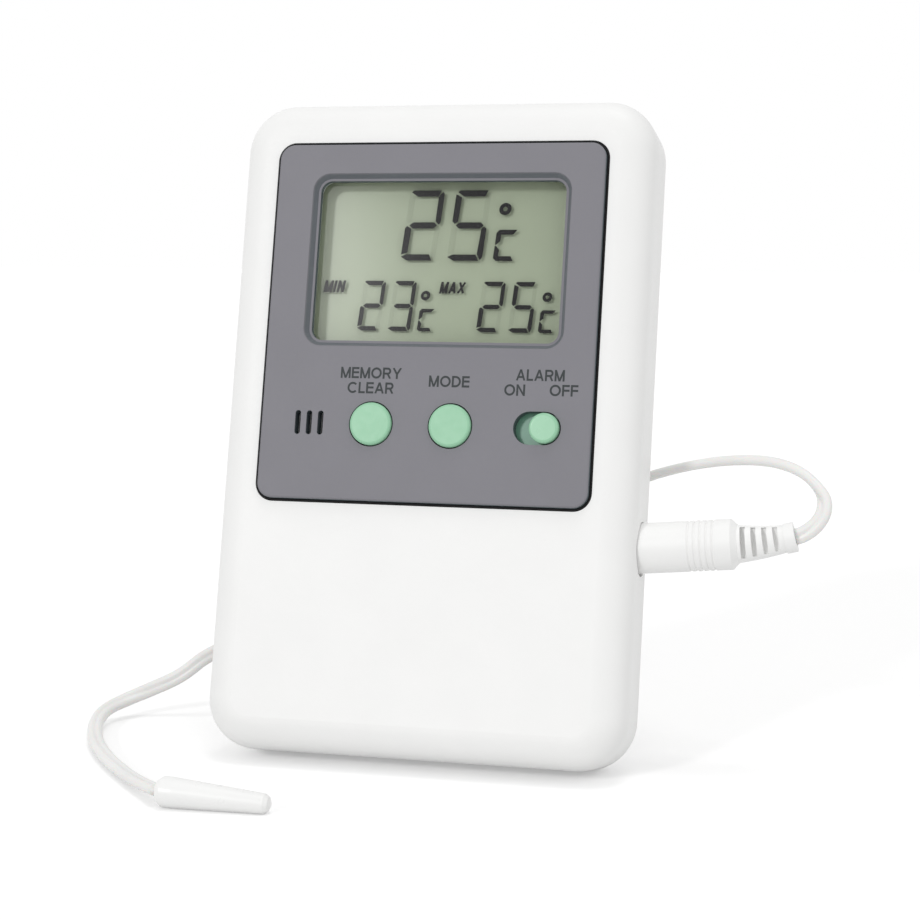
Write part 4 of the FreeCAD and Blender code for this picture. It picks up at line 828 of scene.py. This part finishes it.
# words on the panel: left, right, foot, head
LEGENDS = [
    ("MEMORY", -14.4, -4.1, 60.83, 62.66),
    ("CLEAR", -13.1, -5.3, 58.38, 60.22),
    ("MODE", 0.55, 7.3, 59.68, 61.52),
    ("ALARM", 14.9, 22.8, 60.98, 62.82),
    ("ON", 13.1, 16.5, 58.53, 60.37),
    ("OFF", 20.5, 25.1, 58.6, 60.44),
]
# stroke and space between letters of each kind of word, in letter heights
DISPLAY_PEN = (0.27, 0.13)
LEGEND_PEN = (0.18, 0.11)
WORD_SLANT = 0.17
# each stroke lies this much in front of the last, so that no two faces lie in one plane
STROKE_STEP = 0.001
INK_THICK = 0.03
# depths into the case, and thicknesses, of what the display is built of
MARK_DEPTH = 3.05
CELL_FRONT = 1.8
CELL_THICK = 2.0
CELL_FLAT = 0.15
FOIL_GAP = 0.01
FOIL_THICK = 0.18
FOIL_FLAT = 0.03
PANEL_FRONT = -0.8


def figure(shape, left, foot, stroke, slant):
    """An outline in strokes, made counter-clockwise, sized and slanted by its height."""
    outline = np.array(shape) * stroke
    x, z = outline.T
    if np.sum(x * np.roll(z, -1) - np.roll(x, -1) * z) < 0:
        outline = outline[::-1]
    return np.column_stack([left + outline[:, 0] + slant * outline[:, 1], foot + outline[:, 1]])


def ring(middle_x, middle_z, outer, inner, depth, thickness, slant):
    """A flat ring: a rectangle's four corners carried round the middle, slanted by height."""
    turn = np.linspace(0, 2 * math.pi, 40, endpoint=False)[:, None]
    reach = np.array([outer, outer, inner, inner])[None, :]
    level = np.array([0, thickness, thickness, 0])[None, :]
    up = reach * np.sin(turn)
    across = middle_x + reach * np.cos(turn) + slant * up
    points = on_case(across, depth + level, middle_z + up)
    return points.reshape(-1, 3), grid_faces(len(turn), 4, close_rows=True)


def arc(middle, reach, start, end, count=18):
    """Points on an ellipse: middle plus reach times (cos a, sin a), a from start to end degrees."""
    turn = np.radians(np.linspace(start, end, count))
    return np.column_stack(
        [middle[0] + reach[0] * np.cos(turn), middle[1] + reach[1] * np.sin(turn)]
    )


def bowl(left, right, foot, head):
    """A letter's bowl: out along the head, round a half circle and back along the foot."""
    radius = (head - foot) / 2
    bend = arc((right - radius, (head + foot) / 2), (radius, radius), 90, -90)
    return np.concatenate([[(left, head)], bend, [(left, foot)]])


def bars(width, *levels):
    """A letter's level strokes, as wide as the letter."""
    return [[(0, level), (width, level)] for level in levels]


def letterforms(pen):
    """Plain capitals one unit tall: each one's width, and the middle lines of its strokes."""
    low, high = pen / 2, 1 - pen / 2
    stem = [(low, 0), (low, 1)]
    round_letter = ((0.5, 0.5), (0.5 - low, 0.5 - low))
    return {
        "A": (0.90, [[(low, 0), (0.45, 1)], [(0.45, 1), (0.90 - low, 0)],
                     [(0.2, 0.32), (0.7, 0.32)]]),
        "C": (0.95, [arc(*round_letter, 42, 318, count=40)]),
        "D": (0.84, [stem, bowl(low, 0.84 - low, low, high)]),
        "E": (0.70, [stem, *bars(0.70, low, 0.53, high)]),
        "F": (0.66, [stem, *bars(0.66, 0.50, high)]),
        "I": (pen, [stem]),
        "L": (0.62, [stem, *bars(0.62, low)]),
        "M": (0.94, [stem, [(low, 1), (0.47, 0)], [(0.47, 0), (0.94 - low, 1)],
                     [(0.94 - low, 0), (0.94 - low, 1)]]),
        "N": (0.80, [stem, [(low, 1), (0.80 - low, 0)], [(0.80 - low, 0), (0.80 - low, 1)]]),
        "O": (1.00, [arc(*round_letter, 0, 360, count=40)]),
        "R": (0.80, [stem, bowl(low, 0.78 - low, 0.46, high), [(0.46, 0.46), (0.80 - low, 0)]]),
        "X": (0.88, [[(low, 0), (0.88 - low, 1)], [(low, 1), (0.88 - low, 0)]]),
        "Y": (0.88, [[(low, 1), (0.44, 0.42)], [(0.88 - low, 1), (0.44, 0.42)],
                     [(0.44, 0), (0.44, 0.46)]]),
    }


def stroke_band(line, pen):
    """A stroke's two edges, half a pen to either side of its middle line, and if it closes."""
    line = np.array(line, float)
    closed = np.allclose(line[0], line[-1])
    if closed:
        line = line[:-1]
        steps = np.roll(line, -1, 0) - np.roll(line, 1, 0)
    else:
        steps = np.gradient(line, axis=0)
    side = unit(steps)[:, ::-1] * (1, -1) * pen / 2
    return line - side, line + side, closed


def word(place, style, depth, thickness, slant=0.0):
    """The word's strokes as thin bars, fitted between left and right, foot and head.

    A bar is a rectangle across the stroke and through the ink, carried along the stroke's
    middle line. What would pass the letter's own box is held at its edge.
    """
    text, left, right, foot, head = place
    pen, space = style
    forms = letterforms(pen)
    start, strokes = 0.0, []
    for symbol in text:
        width, lines = forms[symbol]
        for line in lines:
            *band, closed = stroke_band(line, pen)
            strokes.append(([np.clip(edge, 0, (width, 1)) + (start, 0) for edge in band], closed))
        start += width + space
    size = head - foot
    stretch = (right - left - slant * size) / (start - space)
    parts = []
    for index, ((near, far), closed) in enumerate(strokes):
        front = depth - STROKE_STEP * index
        back = front + thickness
        rims = []
        for edge, level in ((near, front), (far, front), (far, back), (near, back)):
            up = edge[:, 1] * size
            rims.append(on_case(left + edge[:, 0] * stretch + slant * up, level, foot + up))
        faces = grid_faces(len(near), 4, close_rows=closed)
        if not closed:
            last = 4 * (len(near) - 1)
            faces += [(3, 2, 1, 0), (last, last + 1, last + 2, last + 3)]
        parts.append((np.stack(rims, axis=1).reshape(-1, 3), faces))
    return joined(parts)


def joined(parts):
    """Several (points, faces) as one."""
    points, faces, first = [], [], 0
    for spots, polygons in parts:
        points.append(spots)
        faces += [[first + i for i in polygon] for polygon in polygons]
        first += len(spots)
    return np.concatenate(points), faces


class MakeDisplay(bpy.types.Operator):
    """Draw the display's marks between its glasses and give the glasses and reflector finishes"""

    bl_idname = "thermometer.display"
    bl_label = "Display"

    def execute(self, context):
        sizes = settings().display
        thickness = sizes.film / MM
        lit, unlit = [], []
        for symbol, left, foot, kind in FIGURES:
            stroke = getattr(sizes, kind) / MM
            shape = FIGURE_SHAPE[kind]
            for name in "abcdefg":
                outline = figure(SEGMENTS[name](*shape), left, foot, stroke, sizes.slant)
                (lit if name in LIT[symbol] else unlit).append(outline)
        for left, foot, stroke in LETTERS:
            for name in ("C", "c2"):
                lit.append(figure(SEGMENTS[name](*LETTER_SHAPE), left, foot, stroke, sizes.slant))
        marks = [film(lit, MARK_DEPTH, thickness)]
        marks += [ring(*place, MARK_DEPTH, thickness, sizes.slant) for place in RINGS]
        marks += [
            word(place, DISPLAY_PEN, MARK_DEPTH, thickness, WORD_SLANT) for place in DISPLAY_WORDS
        ]
        new_piece("display_marks", *joined(marks), "case", display_mark("dark"), smooth=False)
        ghosts = film(unlit, MARK_DEPTH, thickness)
        new_piece("display_ghosts", *ghosts, "case", display_mark("faint"), smooth=False)
        cell = slab(CELL_FRONT, CELL_THICK, CELL_FLAT)
        glass = new_piece("display_cell", *cell, "case", display_glass(), smooth=False)
        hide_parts("lcd_front_glass", "lcd_rear_glass")
        foil = slab(CELL_FRONT + CELL_THICK + FOIL_GAP, FOIL_THICK, FOIL_FLAT)
        ground = new_piece("display_ground", *foil, "case", display_ground(), smooth=False)
        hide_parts("lcd_reflector")
        return {"FINISHED"}


def slab(front, thickness, flat):
    """A slab as wide and tall as the display's glass, its edges ground to a small flat.

    The slab's rectangle at four levels in depth, set in by the flat at the front and back,
    and closed by a face at either end.
    """
    width, deep, tall = (GLASS_BOX[1] - GLASS_BOX[0]) / MM
    # the leaning slab's height and thickness both add to its box's height and depth
    lean, rise = UPWARD[1], UPWARD[2]
    half_x = width / 2
    half_z = (tall * rise - deep * lean) / (rise**2 - lean**2) / 2
    levels = np.array([0, flat, thickness - flat, thickness])[:, None]
    inset = np.array([flat, 0, 0, flat])[:, None]
    side_x, side_z = np.array([[-1, -1, 1, 1]]), np.array([[-1, 1, 1, -1]])
    points = on_case(
        GLASS_MIDDLE[0] + side_x * (half_x - inset),
        front + levels,
        GLASS_MIDDLE[2] + side_z * (half_z - inset),
    )
    return points, [*grid_faces(4, 4), (3, 2, 1, 0), (12, 13, 14, 15)]


def display_mark(kind):
    """Twisted liquid crystal between the glasses: dark where driven, a mere trace where not."""
    material, tree = new_material(f"liquid crystal, {kind}")
    tone = noise(tree, 0.15, detail=2)
    shader = add_node(
        tree,
        "ShaderNodeBsdfPrincipled",
        {
            "Base Color": tinted(tree, tuple(settings().finishes.mark), 0.15, tone),
            "Roughness": 0.5,
            "Alpha": 1.0 if kind == "dark" else 0.035,
            "Specular IOR Level": 0.2,
        },
    )
    finish_material(tree, shader.outputs["BSDF"])
    return material


def display_glass():
    """Drawn soda-lime glass, too thin to bend what is behind it: clear with a little gloss."""
    material, tree = new_material("soda-lime glass, drawn")
    fresnel = add_node(tree, "ShaderNodeFresnel", {"IOR": 1.45})
    # the polariser's anti-glare film takes most of the glass's own gloss away
    film_gloss = add_node(
        tree, "ShaderNodeMath", {0: fresnel.outputs["Fac"], 1: 0.12}, operation="MULTIPLY"
    )
    clear = add_node(tree, "ShaderNodeBsdfTransparent", {"Color": (0.985, 0.99, 0.98, 1)})
    waves = add_node(
        tree,
        "ShaderNodeBump",
        {"Height": noise(tree, 14.0, detail=1), "Distance": 2 * MICRON, "Strength": 0.5},
    )
    gloss = add_node(
        tree, "ShaderNodeBsdfGlossy", {"Roughness": 0.13, "Normal": waves.outputs["Normal"]}
    )
    mixed = add_node(
        tree,
        "ShaderNodeMixShader",
        {0: film_gloss.outputs["Value"], 1: clear.outputs["BSDF"], 2: gloss.outputs["BSDF"]},
    )
    finish_material(tree, mixed.outputs["Shader"])
    return material


def display_ground():
    """Polarising reflector film: a grey-green ground with a very fine even grain."""
    return moulded(
        "reflector film, etched",
        tuple(settings().finishes.ground),
        roughness=0.6,
        grain=0.12,
        depth=2,
        mottle=0.02,
        **{"Specular IOR Level": 0.3},
    )


class PrintLegends(bpy.types.Operator):
    """Print the words for the keys and the slider on the panel"""

    bl_idname = "thermometer.legends"
    bl_label = "Legends"

    def execute(self, context):
        # ink laid on by a pad: a thin, dull, nearly black film
        ink = moulded(
            "pad-printed ink", tuple(settings().finishes.ink), roughness=0.55, grain=0.2, depth=2
        )
        # a little of the ink stands above the panel's paint, and the rest is sunk into it
        front = PANEL_FRONT - INK_THICK / 3
        parts = [word(place, LEGEND_PEN, front, INK_THICK) for place in LEGENDS]
        new_piece("legends", *joined(parts), "case", ink, smooth=False)
        return {"FINISHED"}


# ---------------------------------------------------------------- inside the case


def board():
    """Glass-fibre board under green solder mask: copper runs show as paler lines."""
    material, tree = new_material("FR4 board, solder mask")
    place = add_node(tree, "ShaderNodeTexCoord")
    runs = add_node(
        tree,
        "ShaderNodeTexBrick",
        {
            "Vector": place.outputs["Object"],
            "Color1": (*srgb("1F6A3C"), 1),
            "Color2": (*srgb("1B5F36"), 1),
            "Mortar": (*srgb("4C9A63"), 1),
            "Scale": 1 / (6.0 * MM),
            "Mortar Size": 0.03,
            "Brick Width": 0.9,
            "Row Height": 0.35,
        },
        offset=0.5,
    )
    shader = add_node(
        tree,
        "ShaderNodeBsdfPrincipled",
        {"Base Color": runs.outputs["Color"], "Roughness": 0.32, "Coat Weight": 0.3},
    )
    finish_material(tree, shader.outputs["BSDF"])
    return material


class DressInside(bpy.types.Operator):
    """Give the parts inside the case their finishes"""

    bl_idname = "thermometer.inside"
    bl_label = "Inside"

    def execute(self, context):
        dress(board(), "circuit_board")
        # plain mouldings and castings: dull, in the colours that such parts come in
        holder = moulded(
            "ABS holder, plain moulding", srgb("3A3B3D"), roughness=0.5, grain=0.8, depth=6
        )
        dress(holder, "lcd_holder")
        strip = moulded(
            "silicone strip, carbon-layered",
            srgb("8E8C88"),
            roughness=0.7,
            grain=0.18,
            depth=6,
            mottle=0.5,
        )
        dress(strip, "zebra_connector")
        chip = moulded("epoxy, cast black", srgb("19191A"), roughness=0.35, grain=0.9, depth=12)
        dress(chip, "controller_chip")
        # stamped and rolled metals: bright, with lines along the strip
        steel = metal(
            "nickel-plated steel, stamped", srgb("CBCAC6"), roughness=0.3, stretch=(1, 12, 1)
        )
        switches = ("memory_clear_switch", "mode_switch", "alarm_switch")
        contacts = ("battery_minus_plate", "battery_plus_plate", "battery_spring")
        dress(steel, "timing_crystal", *switches, *contacts)
        brass = metal("brass disc, rolled", srgb("D9B866"), roughness=0.3, stretch=(12, 1, 1))
        dress(brass, "sounder_disc")
        # silver paste on ceramic, and a printed film shrunk round the cell
        ceramic = moulded("silvered ceramic", srgb("DAD6CC"), roughness=0.4, grain=0.4, depth=5)
        dress(ceramic, "sounder_ceramic")
        sleeve = moulded("printed film sleeve", srgb("3B4046"), roughness=0.28, grain=1.5, depth=4)
        dress(sleeve, "battery_cell")
        return {"FINISHED"}


# ---------------------------------------------------------------- the stage


def white_for_sight(tree, lit, seen):
    """Shader `seen` for rays that look at it, in glass and metal too, and `lit` for the rest."""
    rays = add_node(tree, "ShaderNodeLightPath")
    looks = rays.outputs["Is Camera Ray"]
    for other in ("Is Glossy Ray", "Is Transmission Ray"):
        both = add_node(
            tree, "ShaderNodeMath", {0: looks, 1: rays.outputs[other]}, operation="MAXIMUM"
        )
        looks = both.outputs["Value"]
    mixed = add_node(tree, "ShaderNodeMixShader", {0: looks, 1: lit, 2: seen})
    return mixed.outputs["Shader"]


# each sun: its name, the way it shines, its strength and its size in degrees
SUNS = [
    ("key", (0.38, 0.86, -0.42), 0.75, 9),
    ("fill", (-0.75, 0.45, -0.35), 0.22, 50),
    ("top", (-0.1, 0.02, -1.0), 0.5, 20),
]
FLOOR_REACH = 3.0
# how much the floor adds of its own to reach white, and how strongly the surroundings shine
FLOOR_GLOW = 0.32
SURROUND = 0.65


class SetStage(bpy.types.Operator):
    """Lay the floor, light it softly and place the camera"""

    bl_idname = "thermometer.stage"
    bl_label = "Stage"

    def execute(self, context):
        floor_material, tree = new_material("white paper")
        paper = add_node(tree, "ShaderNodeBsdfDiffuse", {"Color": (0.8, 0.8, 0.8, 1)})
        glow = add_node(tree, "ShaderNodeEmission", {"Strength": FLOOR_GLOW})
        brighter = add_node(
            tree, "ShaderNodeAddShader", {0: paper.outputs["BSDF"], 1: glow.outputs["Emission"]}
        )
        seen = white_for_sight(tree, paper.outputs["BSDF"], brighter.outputs["Shader"])
        finish_material(tree, seen)
        floor = bpy.data.meshes.new("floor")
        corners = FLOOR_REACH * np.array([(-1, -1, 0), (1, -1, 0), (1, 1, 0), (-1, 1, 0)])
        floor.from_pydata(corners.tolist(), [], [(0, 1, 2, 3)])
        floor.materials.append(floor_material)
        piece = bpy.data.objects.new("floor", floor)
        context.scene.collection.objects.link(piece)
        piece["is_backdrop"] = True

        world = bpy.data.worlds.new("studio")
        world.use_nodes = True
        tree = world.node_tree
        tree.nodes.clear()
        plain = (1, 1, 1, 1)
        fill = add_node(tree, "ShaderNodeBackground", {"Color": plain, "Strength": SURROUND})
        white = add_node(tree, "ShaderNodeBackground", {"Color": plain, "Strength": 1.0})
        shown = white_for_sight(tree, fill.outputs["Background"], white.outputs["Background"])
        add_node(tree, "ShaderNodeOutputWorld", {"Surface": shown})
        context.scene.world = world

        for name, way, strength, angle in SUNS:
            lamp = bpy.data.lights.new(name, "SUN")
            lamp.energy = strength
            lamp.angle = math.radians(angle)
            holder = bpy.data.objects.new(name, lamp)
            holder.rotation_euler = Vector(way).to_track_quat("-Z", "Y").to_euler()
            context.scene.collection.objects.link(holder)

        place = settings().camera
        camera = bpy.data.cameras.new("camera")
        camera.lens = place.lens
        camera.sensor_width = 36
        camera.clip_start = 0.01
        holder = bpy.data.objects.new("camera", camera)
        holder.location = place.place
        holder.rotation_euler = (math.pi / 2 - place.dip, 0, place.heading)
        context.scene.collection.objects.link(holder)
        context.scene.camera = holder
        context.scene.view_settings.view_transform = "Standard"
        return {"FINISHED"}


# ---------------------------------------------------------------- the add-on

OPERATORS = [
    SetStage,
    MakeLead,
    DressCase,
    DressPanel,
    DressPlug,
    MakeDisplay,
    PrintLegends,
    DressInside,
]


class ThermometerPanel(bpy.types.Panel):
    """Buttons for each piece"""

    bl_idname = "VIEW3D_PT_thermometer"
    bl_label = "Thermometer"
    bl_space_type = "VIEW_3D"
    bl_region_type = "UI"
    bl_category = "Thermometer"

    def draw(self, context):
        for operator in OPERATORS:
            self.layout.operator(operator.bl_idname)


GROUPS = [Finishes, LeadSizes, DisplaySizes, CameraPlace, Thermometer]
CLASSES = [*GROUPS, *OPERATORS, ThermometerPanel]


def register():
    """Register the classes and the scene's settings."""
    for cls in CLASSES:
        bpy.utils.register_class(cls)
    bpy.types.Scene.thermometer = PointerProperty(type=Thermometer)


def unregister():
    """Take the classes and settings away again."""
    del bpy.types.Scene.thermometer
    for cls in reversed(CLASSES):
        bpy.utils.unregister_class(cls)


def main():
    """Build every piece in order."""
    register()
    for operator in OPERATORS:
        group, name = operator.bl_idname.split(".")
        getattr(getattr(bpy.ops, group), name)()
    boxes = {"cad": CAD_BOX, "visual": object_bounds()}
    boxes = {key: [[float(v) for v in corner] for corner in box] for key, box in boxes.items()}


if __name__ == "__main__":
    main()
